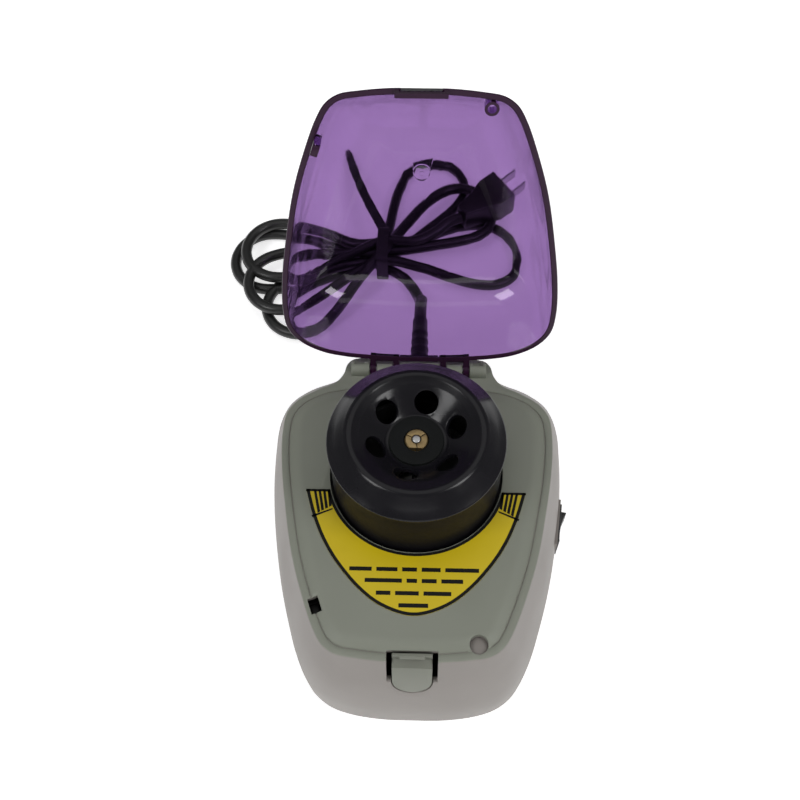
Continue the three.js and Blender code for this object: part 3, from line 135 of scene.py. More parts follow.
soft_box("left_box", (-1.0, -0.55, 1.35), (0.5, 0.7), 6.5)
soft_box("right_box", (1.05, -0.5, 1.35), (0.5, 0.7), 7.5)
soft_box("overhead_box", (0, 0.5, 2.2), (2.6, 1.8), 8)
soft_box("front_box", (0, -2.2, 0.9), (1.8, 0.9), 5.5)
world = bpy.data.worlds.new("studio")
bpy.context.scene.world = world
world.use_nodes = True
world.node_tree.nodes["Background"].inputs["Color"].default_value = (1, 1, 1, 1)
world.node_tree.nodes["Background"].inputs["Strength"].default_value = ROOM_LIGHT
bpy.context.scene.view_settings.view_transform = "Standard"

# ---------------------------------------------------------------- mains lead
# A 6.6 mm round black vinyl lead. It leaves the rear wall through a tapered relief, drops to the
# bench, and the rest is folded into a bow of seven lobes that a strap holds at the waist.

LEAD_DIAMETER = 6.6
LEAD_MERGE = 0.01
WAIST_SPREAD = 5
RISE_FROM, RISE_OVER = 0.3, 0.45
TIE = Vector((-24, 181))
lead_drop = [
    (0, 104.04, 48), (0, 107.74, 47.9), (0.1, 114.5, 46), (0.3, 121.8, 41.6), (0.4, 128.2, 34.2),
    (0.3, 133.2, 25.6), (0, 138, 17.4), (-0.6, 144.2, 10), (-2.2, 152.4, 5.2), (-6.2, 161.2, 3.6),
    (-12, 168.8, 3.5),
]
# toward (degrees), length, half width, height at the waist side, height at the far end, way round
lobes = [
    (181, 91, 21.5, 3.6, 3.5, -1), (64, 92, 21, 3.6, 3.5, 1), (178, 84, 21, 10.4, 10.2, 1),
    (6, 88, 25, 8.5, 3.5, 1), (200, 84, 21, 11.0, 9.8, 1), (36, 82, 21, 12.0, 10.2, -1),
    (216, 80, 20.5, 15.0, 3.6, 1),
]
# offset across the waist and height of each pass under the strap
passes = [(-6.2, 5.8), (9, 5.8), (0.5, 5.8), (7.6, 12.3), (-6.5, 12.3), (0.4, 12.3), (-3.2, 17.4), (5, 17.4)]
plug_run = [(-4, 187.5, 16.5), (8, 195, 16.5), (17, 202, 18.5), (24.3, 204.7, 19.5)]


def lobe_points(toward, length, width, near_z, far_z, way):
    """The points of one fold, out from the strap, round its end and back."""
    angle = math.radians(toward)
    along = Vector((math.cos(angle), math.sin(angle)))
    across = Vector((-along.y, along.x))
    bend = length - width
    half = []
    for share in (0.34, 0.5, 0.66, 0.83):
        reach = share * bend
        spread = WAIST_SPREAD + (width - WAIST_SPREAD) * (1 - math.cos(math.pi * share)) / 2
        half.append((reach, spread))
    for k in range(6):
        turn = k / 5 * math.pi / 2
        half.append((bend + width * math.sin(turn), width * math.cos(turn)))
    ends = half + [(s, -p) for s, p in reversed(half[:-1])]
    points = []
    for s, p in ends:
        level = near_z + (far_z - near_z) * min(1, max(0, (s / length - RISE_FROM) / RISE_OVER))
        at = TIE + along * s + across * p * way
        points.append((at.x, at.y, level))
    return points


waist = [(TIE.x, TIE.y + offset, level) for offset, level in passes]
lead_route = lead_drop + waist[:1]
for lobe, crossing in zip(lobes, waist[1:]):
    lead_route += lobe_points(*lobe) + [crossing]
lead_route += plug_run


def swept_curve(name, route, diameter, sides=5):
    """A round tube along a route of positions."""
    curve = bpy.data.curves.new(name, "CURVE")
    curve.dimensions = "3D"
    curve.bevel_depth = diameter / 2 * MM
    curve.bevel_resolution = sides
    curve.use_fill_caps = True
    spline = curve.splines.new("BEZIER")
    spline.resolution_u = 6
    spline.bezier_points.add(len(route) - 1)
    for knot, point in zip(spline.bezier_points, route):
        knot.co = place(*point)
        knot.handle_left_type = knot.handle_right_type = "AUTO"
    piece = bpy.data.objects.new(name, curve)
    bpy.context.scene.collection.objects.link(piece)
    return piece


def centreline(curve_piece):
    """The points along a swept curve's own line."""
    depth = curve_piece.data.bevel_depth
    curve_piece.data.bevel_depth = 0
    points = [tuple(v.co) for v in curve_piece.to_mesh().vertices]
    curve_piece.to_mesh_clear()
    curve_piece.data.bevel_depth = depth
    return points


def select_only(piece):
    """Selects one piece and makes it the active one."""
    clear_selection()
    piece.select_set(True)
    bpy.context.view_layer.objects.active = piece


mains_lead = swept_curve("mains_lead", lead_route, LEAD_DIAMETER)
lead_line = centreline(mains_lead)
select_only(mains_lead)
bpy.ops.object.convert(target="MESH")
mains_lead = bpy.context.object
bpy.ops.object.mode_set(mode="EDIT")
bpy.ops.mesh.select_all(action="SELECT")
bpy.ops.mesh.remove_doubles(threshold=LEAD_MERGE * MM)
bpy.ops.mesh.normals_make_consistent(inside=False)
bpy.ops.object.mode_set(mode="OBJECT")
bpy.ops.object.shade_smooth_by_angle(angle=math.radians(40))
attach(mains_lead, "base")
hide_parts("cord_lead")
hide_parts("cord_hank")

# ---------------------------------------------------------------- housing
# One grey moulding of ABS with a 2.5 mm wall: a swollen body under a flat rim that the lid
# closes on, a fine groove inside the rim, and a raised middle with the rotor's round hole.

WALL = 2.5
DECK = 70
PLATEAU = 72
HALF_WIDTH = 65
FRONT = 88.6
LID_REAR = 52.9
BODY_HALF = 73.8
BODY_FRONT = 98.3
BODY_REAR = 73.5
NECK = 37.4
NECK_REAR = 66

front_stations = [
    (0, -FRONT), (0.2 * HALF_WIDTH, -0.998 * FRONT), (0.392 * HALF_WIDTH, -0.984 * FRONT),
    (0.52 * HALF_WIDTH, -0.966 * FRONT), (0.603 * HALF_WIDTH, -0.924 * FRONT),
    (0.665 * HALF_WIDTH, -0.852 * FRONT), (0.76 * HALF_WIDTH, -0.677 * FRONT),
    (0.854 * HALF_WIDTH, -0.457 * FRONT), (0.935 * HALF_WIDTH, -0.169 * FRONT),
]
deck_stations = front_stations + [
    (0.985 * HALF_WIDTH, 6), (HALF_WIDTH, 23), (0.978 * HALF_WIDTH, 34), (0.902 * HALF_WIDTH, 41),
    (0.762 * HALF_WIDTH, 46.8), (NECK + 3.6, 51.2), (NECK, 56.5), (NECK - 1.4, NECK_REAR - 4),
    (NECK - 5, NECK_REAR - 0.5), (0, NECK_REAR),
]
lid_stations = front_stations + [
    (0.985 * HALF_WIDTH, 6), (HALF_WIDTH, 23), (0.975 * HALF_WIDTH, LID_REAR - 18.9),
    (0.885 * HALF_WIDTH, LID_REAR - 10.9), (0.723 * HALF_WIDTH, LID_REAR - 4.9),
    (0.554 * HALF_WIDTH, LID_REAR - 2.3), (0.415 * HALF_WIDTH, LID_REAR - 1.3),
    (0.277 * HALF_WIDTH, LID_REAR - 0.6), (0.138 * HALF_WIDTH, LID_REAR - 0.1), (0, LID_REAR),
]
body_stations = [
    (0, -BODY_FRONT), (0.203 * BODY_HALF, -0.997 * BODY_FRONT), (0.406 * BODY_HALF, -0.975 * BODY_FRONT),
    (0.549 * BODY_HALF, -0.936 * BODY_FRONT), (0.664 * BODY_HALF, -0.865 * BODY_FRONT),
    (0.745 * BODY_HALF, -0.753 * BODY_FRONT), (0.818 * BODY_HALF, -0.59 * BODY_FRONT),
    (0.894 * BODY_HALF, -0.376 * BODY_FRONT), (0.959 * BODY_HALF, -0.112 * BODY_FRONT),
    (0.992 * BODY_HALF, 10), (BODY_HALF, 28), (0.993 * BODY_HALF, 0.6 * BODY_REAR),
    (0.935 * BODY_HALF, 0.79 * BODY_REAR), (0.8 * BODY_HALF, 0.918 * BODY_REAR),
    (0.637 * BODY_HALF, 0.98 * BODY_REAR), (0.515 * BODY_HALF, 0.997 * BODY_REAR),
    (0.366 * BODY_HALF, BODY_REAR), (0.19 * BODY_HALF, BODY_REAR), (0, BODY_REAR),
]
wall_swing = [(3, 0.92), (14, 0.985), (23.8, 1), (35, 0.88), (47.6, 0.64), (58.8, 0.33), (66.5, 0.1), (70, 0)]


def mirrored(stations):
    """The closed ring of a half outline, front to rear, mirrored about the centre line."""
    return [Vector((x, y)) for x, y in stations + [(-x, y) for x, y in reversed(stations[1:-1])]]


def moved_in(ring, distance):
    """The ring moved inwards, square to its own line."""
    inner = []
    for k, point in enumerate(ring):
        along = (ring[(k + 1) % len(ring)] - ring[k - 1]).normalized()
        inner.append(Vector((point.x - along.y * distance, point.y + along.x * distance)))
    return inner


def blended(first, second, share):
    """A ring between two rings of equal length."""
    return [a.lerp(b, share) for a, b in zip(first, second)]


def smoothed(ring, steps=5):
    """More points on a closed ring, on a curve that runs evenly through its stations."""
    count = len(ring)
    fine = []
    for k in range(count):
        a, b, c, d = (ring[(k + j) % count] for j in (-1, 0, 1, 2))
        ab, bc, cd = ((q - p).length ** 0.5 for p, q in ((a, b), (b, c), (c, d)))
        leave = ((b - a) / ab - (c - a) / (ab + bc) + (c - b) / bc) * bc
        arrive = ((c - b) / bc - (d - b) / (bc + cd) + (d - c) / cd) * bc
        for j in range(steps):
            t = j / steps
            fine.append(b * (2 * t**3 - 3 * t**2 + 1) + leave * (t**3 - 2 * t**2 + t)
                        + c * (3 * t**2 - 2 * t**3) + arrive * (t**3 - t**2))
    return fine


def at_height(table, height):
    """A smooth reading of a table of (height, value) rows."""
    k = max(1, next((i for i, row in enumerate(table) if row[0] >= height), len(table) - 1))
    (z0, v0), (z1, v1) = table[k - 1], table[k]

    def lean(i):
        low, high = table[max(0, i - 1)], table[min(len(table) - 1, i + 1)]
        return (high[1] - low[1]) / (high[0] - low[0])

    t, run = (height - z0) / (z1 - z0), z1 - z0
    return (v0 * (2 * t**3 - 3 * t**2 + 1) + lean(k - 1) * run * (t**3 - 2 * t**2 + t)
            + v1 * (3 * t**2 - 2 * t**3) + lean(k) * run * (t**3 - t**2))


deck_ring, lid_ring, body_ring = mirrored(deck_stations), mirrored(lid_stations), mirrored(body_stations)


def wall_ring(height, depth=0):
    """The outline of the body's wall at a height, moved in by a depth."""
    return smoothed(moved_in(blended(deck_ring, body_ring, at_height(wall_swing, height)), depth))


def raised(ring, height):
    """A flat ring placed at a height."""
    return [place(p.x, p.y, height) for p in ring]


def lofted(name, rings, capped=True, looped=False):
    """A skin through rings of equal length: a circle is drawn out from ring to ring."""
    clear_selection()
    bpy.ops.mesh.primitive_circle_add(vertices=len(rings[0]), radius=1, location=(0, 0, 0))
    piece = bpy.context.object
    piece.name = piece.data.name = name
    bpy.ops.object.mode_set(mode="EDIT")
    edit = bmesh.from_edit_mesh(piece.data)
    edit.verts.ensure_lookup_table()
    for k, point in enumerate(rings[0]):
        edit.verts[k].co = point
    current = list(edit.verts)
    for ring in rings[1:]:
        order = {tuple(round(c, 8) for c in v.co): k for k, v in enumerate(current)}
        bpy.ops.mesh.extrude_edges_move()
        edit = bmesh.from_edit_mesh(piece.data)
        drawn = [None] * len(ring)
        for v in edit.verts:
            if v.select:
                drawn[order[tuple(round(c, 8) for c in v.co)]] = v
        for v, point in zip(drawn, ring):
            v.co = point
        current = drawn
    bpy.ops.mesh.select_all(action="DESELECT")
    bpy.ops.mesh.select_mode(type="EDGE")
    edit = bmesh.from_edit_mesh(piece.data)
    for edge in edit.edges:
        edge.select_set(edge.is_boundary)
    bmesh.update_edit_mesh(piece.data)
    if looped:
        bpy.ops.mesh.bridge_edge_loops()
    elif capped:
        bpy.ops.mesh.fill_holes(sides=0)
    bpy.ops.mesh.select_all(action="SELECT")
    bpy.ops.mesh.normals_make_consistent(inside=False)
    bpy.ops.object.mode_set(mode="OBJECT")
    return piece


def circle(radius, x, y, height, steps=96):
    """A flat ring of points round an upright axis."""
    turns = [2 * math.pi * k / steps for k in range(steps)]
    return [place(x + radius * math.cos(t), y + radius * math.sin(t), height) for t in turns]


def turned(name, section, x=0, y=ROTOR_Y, steps=96, looped=False):
    """A turned piece from (radius, height) pairs."""
    return lofted(name, [circle(r, x, y, z, steps) for r, z in section], looped=looped)


def box_piece(name, low, high):
    """A box between two corners."""
    clear_selection()
    bpy.ops.mesh.primitive_cube_add(size=1, location=(0, 0, 0))
    piece = bpy.context.object
    piece.name = piece.data.name = name
    a, b = place(*low), place(*high)
    for v in piece.data.vertices:
        v.co = [a[i] if v.co[i] < 0 else b[i] for i in range(3)]
    return piece


def rod_along(name, axis, radius, start, end, first, second, steps=48):
    """A cylinder along x, y or z from start to end, at the two other coordinates."""
    clear_selection()
    bpy.ops.mesh.primitive_cylinder_add(vertices=steps, radius=1, depth=1, location=(0, 0, 0))
    piece = bpy.context.object
    piece.name = piece.data.name = name
    for v in piece.data.vertices:
        across, up = v.co.x * radius, v.co.y * radius
        run = start if v.co.z < 0 else end
        v.co = {"x": place(run, first + across, second + up), "y": place(first + across, run, second + up),
                "z": place(first + across, second + up, run)}[axis]
    select_only(piece)
    bpy.ops.object.mode_set(mode="EDIT")
    bpy.ops.mesh.select_all(action="SELECT")
    bpy.ops.mesh.normals_make_consistent(inside=False)
    bpy.ops.object.mode_set(mode="OBJECT")
    return piece


def finished(piece, kind, **settings):
    """Adds a modifier and applies it."""
    select_only(piece)
    modifier = piece.modifiers.new(kind.lower(), kind)
    for key, value in settings.items():
        setattr(modifier, key, value)
    bpy.ops.object.modifier_apply(modifier=modifier.name)
    return piece


def combined(piece, others, how):
    """Applies a boolean with each of the others and removes them."""
    for other in others:
        finished(piece, "BOOLEAN", object=other, operation=how, solver="MANIFOLD")
        bpy.data.objects.remove(other)
    return piece


def cut_from(piece, *cutters):
    """Cuts each cutter out of the piece."""
    return combined(piece, cutters, "DIFFERENCE")


def fused(piece, *others):
    """Makes the piece one body with the others."""
    return combined(piece, others, "UNION")


def joined(piece, *others):
    """Puts the others in the piece's mesh without merging their bodies."""
    clear_selection()
    for other in (piece, *others):
        other.select_set(True)
    bpy.context.view_layer.objects.active = piece
    bpy.ops.object.join()
    return piece


def eased(piece, width, segments=2, angle=35):
    """Rounds the edges that are sharper than an angle."""
    return finished(piece, "BEVEL", width=width * MM, segments=segments, limit_method="ANGLE",
                    angle_limit=math.radians(angle), harden_normals=False)


def shaded(piece, angle=35):
    """Smooth shading that keeps the sharp edges."""
    select_only(piece)
    bpy.ops.object.shade_smooth_by_angle(angle=math.radians(angle))
    return piece


wall_heights = [3, 3.5, 6, 10, 14, 19, 23.8, 29, 35, 41, 47.6, 53, 58.8, 62.5, 66.5, 68.4, 69.4]
housing_rings = [raised(wall_ring(3, 0.5), 3)] + [raised(wall_ring(z), z) for z in wall_heights[1:]]
housing_rings += [raised(wall_ring(69.75, 0.12), 69.78), raised(wall_ring(70, 0.4), DECK)]
# inset from the lid's outline and height: the rim, its groove and the rise to the raised middle
deck_profile = [
    (3.2, DECK), (3.35, DECK - 0.12), (3.5, DECK - 0.5), (3.75, DECK - 0.5), (3.95, DECK - 0.05),
    (4.4, DECK + 0.2), (6.0, DECK + 0.9), (7.6, DECK + 1.55), (9.0, DECK + 1.9), (10.6, PLATEAU),
]
housing_rings += [raised(smoothed(moved_in(lid_ring, inset)), z) for inset, z in deck_profile]
housing = lofted("housing", housing_rings, capped=False)
select_only(housing)
bpy.ops.object.mode_set(mode="EDIT")
edit = bmesh.from_edit_mesh(housing.data)
for edge in edit.edges:
    edge.select = edge.is_boundary and all(v.co.z > 60 * MM for v in edge.verts)
bmesh.update_edit_mesh(housing.data)
bpy.ops.mesh.edge_face_add()
bpy.ops.mesh.select_all(action="SELECT")
bpy.ops.mesh.normals_make_consistent(inside=False)
bpy.ops.object.mode_set(mode="OBJECT")
if sum(p.normal.z * p.area for p in housing.data.polygons if p.center.z > 65 * MM) < 0:
    housing.data.flip_normals()
finished(housing, "SOLIDIFY", thickness=WALL * MM, offset=-1, use_even_offset=False)

# Cuts in the housing: the rotor's hole, the interlock slot, the round pocket and the latch opening
ROTOR_HOLE = 40.6
LATCH_HALF = 11.2
TONGUE_HALF = 8.8
LATCH_BACK = -83.8
TONGUE_AXIS = 54.5
INTERLOCK_TURN = math.radians(20)
INTERLOCK_AT = (-0.668 * HALF_WIDTH, -64.3, 0)
POCKET_X, POCKET_Y = 0.441 * HALF_WIDTH, -0.911 * FRONT
POCKET_CUP, POCKET_RADIUS, POCKET_FLOOR = 5.6, 4.1, 68.3


def set_at(piece, turn, axis, position):
    """Turns a piece that is drawn round the drawing's origin, then moves it to its place."""
    piece.data.transform(Matrix.Translation(-DATUM))
    piece.data.transform(Matrix.Rotation(turn, 4, axis))
    piece.data.transform(Matrix.Translation(place(*position)))
    return piece


cut_from(
    housing,
    rod_along("hole_cutter", "z", ROTOR_HOLE, 50, 90, 0, ROTOR_Y, 128),
    set_at(box_piece("slot_cutter", (-2.4, -3.7, 60), (2.4, 3.7, 80)), INTERLOCK_TURN, "Z", INTERLOCK_AT),
    box_piece("latch_cutter", (-LATCH_HALF, -110, TONGUE_AXIS), (LATCH_HALF, LATCH_BACK, 80)),
    rod_along("tongue_cutter", "y", TONGUE_HALF + 0.5, -110, LATCH_BACK, 0, TONGUE_AXIS),
)
fused(housing, rod_along("pocket_cup", "z", POCKET_CUP, 66.6, 69.9, POCKET_X, POCKET_Y, 48))
cut_from(
    housing,
    rod_along("pocket_cutter", "z", POCKET_RADIUS, POCKET_FLOOR, 90, POCKET_X, POCKET_Y, 48),
    turned("pocket_seam", [(3.75, 67.9), (4.05, 67.9), (4.05, 68.5), (3.75, 68.5)], POCKET_X, POCKET_Y, 48,
           looped=True),
)

# Square land for the power switch on the right wall, and a round one for the lead's relief
body_turn = -(math.atan2((0.992 - 0.959) * BODY_HALF, 10 + 0.112 * BODY_FRONT) + math.radians(0.5))
SWITCH_Y, SWITCH_Z = -7.5, 29
SWITCH_HALF_WIDTH, SWITCH_HALF_HEIGHT = 10.1, 6.7
RELIEF_TURN = math.radians(-90)
RELIEF_AT = (0, 71.74, 48)


def switch_room(name):
    """A box for the switch's cut-out, square to the right wall."""
    half = (SWITCH_HALF_WIDTH, SWITCH_HALF_HEIGHT)
    room = box_piece(name, (-9, -half[0], -half[1]), (6, *half))
    return set_at(room, body_turn, "Z", (side_x, SWITCH_Y, SWITCH_Z))


side_x = min(p.x for p in (q for q in wall_ring(SWITCH_Z) if q.x > 0 and abs(q.y - SWITCH_Y) < 3)) - 0.1
cut_from(housing, switch_room("switch_hole"))
land = box_piece("switch_land", (-3.2, -12, -9), (-0.15, 12, 9))
set_at(land, body_turn, "Z", (side_x, SWITCH_Y, SWITCH_Z))
cut_from(land, switch_room("land_hole"))
relief_land = turned("relief_land", [(8, -6), (8, -0.6), (7.6, 0), (5.4, 0), (5.4, -6)], 0, 0, 64,
                     looped=True)
set_at(relief_land, RELIEF_TURN, "X", RELIEF_AT)

# Hinge on the neck: end blocks, a centre bar and two small knuckles round a steel pin
HINGE_Y, HINGE_Z = 58.7, 70.9
FINGERS = (-22.6, -11.2, 12.1, 23.5)
FINGER_SPACE, FINGER_ROOM = 1.9, 3.8
KNUCKLE, SMALL_KNUCKLE = 3.65, 2.75
PIN_ROOM = 1.6
HINGE_FOOT = 67
reach = NECK - 3.9
knuckles = [
    (-reach, FINGERS[0], KNUCKLE), (FINGERS[0], FINGERS[1], SMALL_KNUCKLE), (FINGERS[1], FINGERS[2], KNUCKLE),
    (FINGERS[2], FINGERS[3], SMALL_KNUCKLE), (FINGERS[3], reach, KNUCKLE),
]
hinge_parts = []
for k, (start, end, radius) in enumerate(knuckles):
    x0 = start if k == 0 else start + FINGER_SPACE
    x1 = end if k == 4 else end - FINGER_SPACE
    knuckle = rod_along(f"knuckle_{k}", "x", radius, x0, x1, HINGE_Y, HINGE_Z, 40)
    foot = box_piece("foot", (x0 + 0.01, HINGE_Y - radius, HINGE_FOOT),
                     (x1 - 0.01, HINGE_Y + radius, HINGE_Z))
    fused(knuckle, foot)
    if k in (0, 4):
        side = -1 if k == 0 else 1
        xs = sorted((side * (reach - 6.6), side * (reach - 1.4)))
        cut_from(knuckle, box_piece("window", (xs[0], HINGE_Y + 0.6, 71.6), (xs[1], HINGE_Y + 6, 76)))
    cut_from(knuckle, rod_along("pin_hole", "x", PIN_ROOM, x0 - 3, x1 + 3, HINGE_Y, HINGE_Z, 24))
    hinge_parts.append(eased(knuckle, 0.35, 2))
for x in FINGERS:
    x0, x1 = x - FINGER_SPACE, x + FINGER_SPACE
    cut_from(housing, rod_along("finger_room", "x", FINGER_ROOM, x0, x1, HINGE_Y, HINGE_Z, 40))
eased(housing, 0.3, 2, 50)
joined(housing, land, relief_land, *hinge_parts)
shaded(housing, 40)


def surface_noise():
    """Shared group: fine grain and slow clouds over a surface."""
    group = bpy.data.node_groups.new("surface_noise", "ShaderNodeTree")
    for name, value in (("Grain Size", 0.4), ("Cloud Size", 20.0)):
        socket = group.interface.new_socket(name, in_out="INPUT", socket_type="NodeSocketFloat")
        socket.default_value = value
    for name in ("Grain", "Cloud"):
        group.interface.new_socket(name, in_out="OUTPUT", socket_type="NodeSocketFloat")
    nodes, links = group.nodes, group.links
    inputs, outputs = nodes.new("NodeGroupInput"), nodes.new("NodeGroupOutput")
    where = nodes.new("ShaderNodeTexCoord")
    for size, result, detail in (("Grain Size", "Grain", 3), ("Cloud Size", "Cloud", 4)):
        per_metre = nodes.new("ShaderNodeMath")
        per_metre.operation = "DIVIDE"
        per_metre.inputs[0].default_value = 1000
        links.new(inputs.outputs[size], per_metre.inputs[1])
        noise = nodes.new("ShaderNodeTexNoise")
        noise.inputs["Detail"].default_value = detail
        links.new(where.outputs["Object"], noise.inputs["Vector"])
        links.new(per_metre.outputs[0], noise.inputs["Scale"])
        links.new(noise.outputs["Fac"], outputs.inputs[result])
    return group


noise_group = surface_noise()


def surface(name, colour, shade, roughness, spread=0.08, grain=0.4, depth=0.02, clouds=20, metallic=0.0,
            **sockets):
    """A finish whose colour and gloss drift a little, with a fine grain in its relief.

    Spread is the drift in roughness. Grain, depth and clouds are sizes in millimetres.
    """
    material = bpy.data.materials.new(name)
    material.use_nodes = True
    nodes, links = material.node_tree.nodes, material.node_tree.links
    shader = nodes["Principled BSDF"]
    noise = nodes.new("ShaderNodeGroup")
    noise.node_tree = noise_group
    noise.inputs["Grain Size"].default_value = grain
    noise.inputs["Cloud Size"].default_value = clouds
    tint = nodes.new("ShaderNodeMix")
    tint.data_type = "RGBA"
    tint.name = "tint"
    tint.inputs["A"].default_value = (*colour, 1)
    tint.inputs["B"].default_value = (*shade, 1)
    links.new(noise.outputs["Cloud"], tint.inputs["Factor"])
    links.new(tint.outputs["Result"], shader.inputs["Base Color"])
    gloss = nodes.new("ShaderNodeMapRange")
    gloss.inputs["From Min"].default_value = 0.3
    gloss.inputs["From Max"].default_value = 0.7
    gloss.inputs["To Min"].default_value = roughness - spread / 2
    gloss.inputs["To Max"].default_value = roughness + spread / 2
    links.new(noise.outputs["Cloud"], gloss.inputs["Value"])
    links.new(gloss.outputs["Result"], shader.inputs["Roughness"])
    bump = nodes.new("ShaderNodeBump")
    bump.inputs["Strength"].default_value = 0.5
    bump.inputs["Distance"].default_value = depth * MM
    links.new(noise.outputs["Grain"], bump.inputs["Height"])
    links.new(bump.outputs["Normal"], shader.inputs["Normal"])
    shader.inputs["Metallic"].default_value = metallic
    for socket, value in sockets.items():
        shader.inputs[socket.replace("_", " ")].default_value = value
    return material


def two_zones(material, upper, upper_shade, low, high):
    """Gives a surface a second colour above a height, with a short change between."""
    nodes, links = material.node_tree.nodes, material.node_tree.links
    first = nodes["tint"]
    second = nodes.new("ShaderNodeMix")
    second.data_type = "RGBA"
    second.inputs["A"].default_value = (*upper, 1)
    second.inputs["B"].default_value = (*upper_shade, 1)
    links.new(first.inputs["Factor"].links[0].from_socket, second.inputs["Factor"])
    where, split = nodes.new("ShaderNodeTexCoord"), nodes.new("ShaderNodeSeparateXYZ")
    links.new(where.outputs["Object"], split.inputs[0])
    zone = nodes.new("ShaderNodeMapRange")
    zone.inputs["From Min"].default_value = low * MM
    zone.inputs["From Max"].default_value = high * MM
    links.new(split.outputs["Z"], zone.inputs["Value"])
    both = nodes.new("ShaderNodeMix")
    both.data_type = "RGBA"
    links.new(zone.outputs["Result"], both.inputs["Factor"])
    links.new(first.outputs["Result"], both.inputs["A"])
    links.new(second.outputs["Result"], both.inputs["B"])
    links.new(both.outputs["Result"], nodes["Principled BSDF"].inputs["Base Color"])
    return material


def dressed(piece, material, body, slot, *nodes):
    """Gives a piece its finish, the body it rides on and the CAD nodes it replaces. The slot is not used."""
    piece.data.materials.clear()
    piece.data.materials.append(material)
    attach(piece, body)
    if nodes:
        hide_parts(*nodes)
    return piece


# Painted light: above 69.3 mm the one grey moulding gets a lighter, greener grey for the different light that
# falls on its rim and deck than on its walls.
PAINTED_LIGHT_FROM, PAINTED_LIGHT_FULL = 69.3, 69.9
housing_grey = two_zones(
    surface("housing_grey", (0.262, 0.238, 0.22), (0.238, 0.218, 0.2), 0.5, 0.08, 0.5, 0.02, 30),
    (0.268, 0.282, 0.232), (0.245, 0.259, 0.213), PAINTED_LIGHT_FROM, PAINTED_LIGHT_FULL,
)
dressed(housing, housing_grey, "base", "housing_grey", "housing_shell")

# ---------------------------------------------------------------- base plate, feet and screws
# A flat grey cover under the housing on four cross-head screws, with vents under the motor
# and four rubber feet pressed into round seats.

CAD_MERGE = 0.02
SLOT_LONG, SLOT_WIDE, SLOT_DEEP = 1.7, 0.3, 0.9

def from_cad(node, name, width=0.25, segments=2, angle=35):
    """A merged copy of a CAD piece with its sharp edges eased."""
    piece = bpy.data.objects.new(name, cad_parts[node].data.copy())
    bpy.context.scene.collection.objects.link(piece)
    piece.data.materials.clear()
    select_only(piece)
    bpy.ops.object.mode_set(mode="EDIT")
    bpy.ops.mesh.select_all(action="SELECT")
    bpy.ops.mesh.remove_doubles(threshold=CAD_MERGE * MM)
    bpy.ops.mesh.dissolve_limited(angle_limit=math.radians(1))
    bpy.ops.object.mode_set(mode="OBJECT")
    if width:
        eased(piece, width, segments, angle)
    return shaded(piece, 35)


base_grey = surface("base_grey", (0.30, 0.29, 0.27), (0.27, 0.262, 0.245), 0.6, 0.08, 0.8, 0.03, 30)
foot_rubber = surface("foot_rubber", (0.022, 0.022, 0.022), (0.035, 0.035, 0.034), 0.85, 0.08, 0.3, 0.05, 8)
bright_steel = surface("bright_steel", (0.58, 0.58, 0.57), (0.5, 0.5, 0.5), 0.32, 0.12, 0.15, 0.006, 6, 1.0)
dressed(from_cad("base_plate", "base_cover", 0.3), base_grey, "base", "base_grey", "base_plate")
for k in range(1, 5):
    dressed(from_cad(f"foot_{k}", f"rubber_foot_{k}", 0.3), foot_rubber, "base", "foot_rubber", f"foot_{k}")
    screw = from_cad(f"base_screw_{k}", f"cover_screw_{k}", 0)
    low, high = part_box(f"base_screw_{k}")
    x, y = (low.x + high.x - 2 * DATUM.x) / 2 / MM, (low.y + high.y - 2 * DATUM.y) / 2 / MM
    head = low.z / MM
    slots = [box_piece(name, (x - a, y - b, head - 1), (x + a, y + b, head + SLOT_DEEP))
             for name, a, b in (("slot_a", SLOT_LONG, SLOT_WIDE), ("slot_b", SLOT_WIDE, SLOT_LONG))]
    cut_from(screw, *slots)
    dressed(screw, bright_steel, "base", "steel", f"base_screw_{k}")

# ---------------------------------------------------------------- deck label
# A thin printed film on the raised deck: yellow with a black border, black and yellow hatching
# in its two upper corners, and four centred rows of plain bars in place of its wording.

label_edge = [(0.785 * HALF_WIDTH, -0.1), (0.727 * HALF_WIDTH, -0.241), (0.646 * HALF_WIDTH, -0.381),
              (0.538 * HALF_WIDTH, -0.509), (0.38 * HALF_WIDTH, -0.643), (0.21 * HALF_WIDTH, -0.735),
              (0, -0.779)]
LABEL_TOP = 72.45
LABEL_HOLE = 41.2
EDGE_LINE, HOLE_LINE, TOP_LINE = 1.5, 1.3, 1.2
BAR_HALF_HEIGHT, BAR_GAP = 0.95, 2.1


def outer_curve(shrink=0.0, steps=8):
    """The label's curved lower edge, from its right corner to its left."""
    right = [Vector((x, share * FRONT)) for x, share in label_edge]
    all_points = right + [Vector((-p.x, p.y)) for p in reversed(right[:-1])]
    fine = []
    for k in range(len(all_points) - 1):
        a = all_points[max(0, k - 1)]
        b, c = all_points[k], all_points[k + 1]
        d = all_points[min(len(all_points) - 1, k + 2)]
        for j in range(steps):
            t = j / steps
            fine.append(0.5 * (2 * b + (c - a) * t + (2 * a - 5 * b + 4 * c - d) * t * t
                               + (3 * b - a - 3 * c + d) * t**3))
    fine.append(all_points[-1])
    middle = Vector((0, -8))
    return [p + (middle - p).normalized() * shrink for p in fine]


def inner_curve(radius, top):
    """The arc round the rotor's hole, from side to side below a level."""
    start = math.asin((top - ROTOR_Y) / radius)
    return [Vector((radius * math.cos(t), ROTOR_Y + radius * math.sin(t))) for t in
            [math.pi - start + (math.pi + 2 * start) * k / 48 for k in range(49)]]


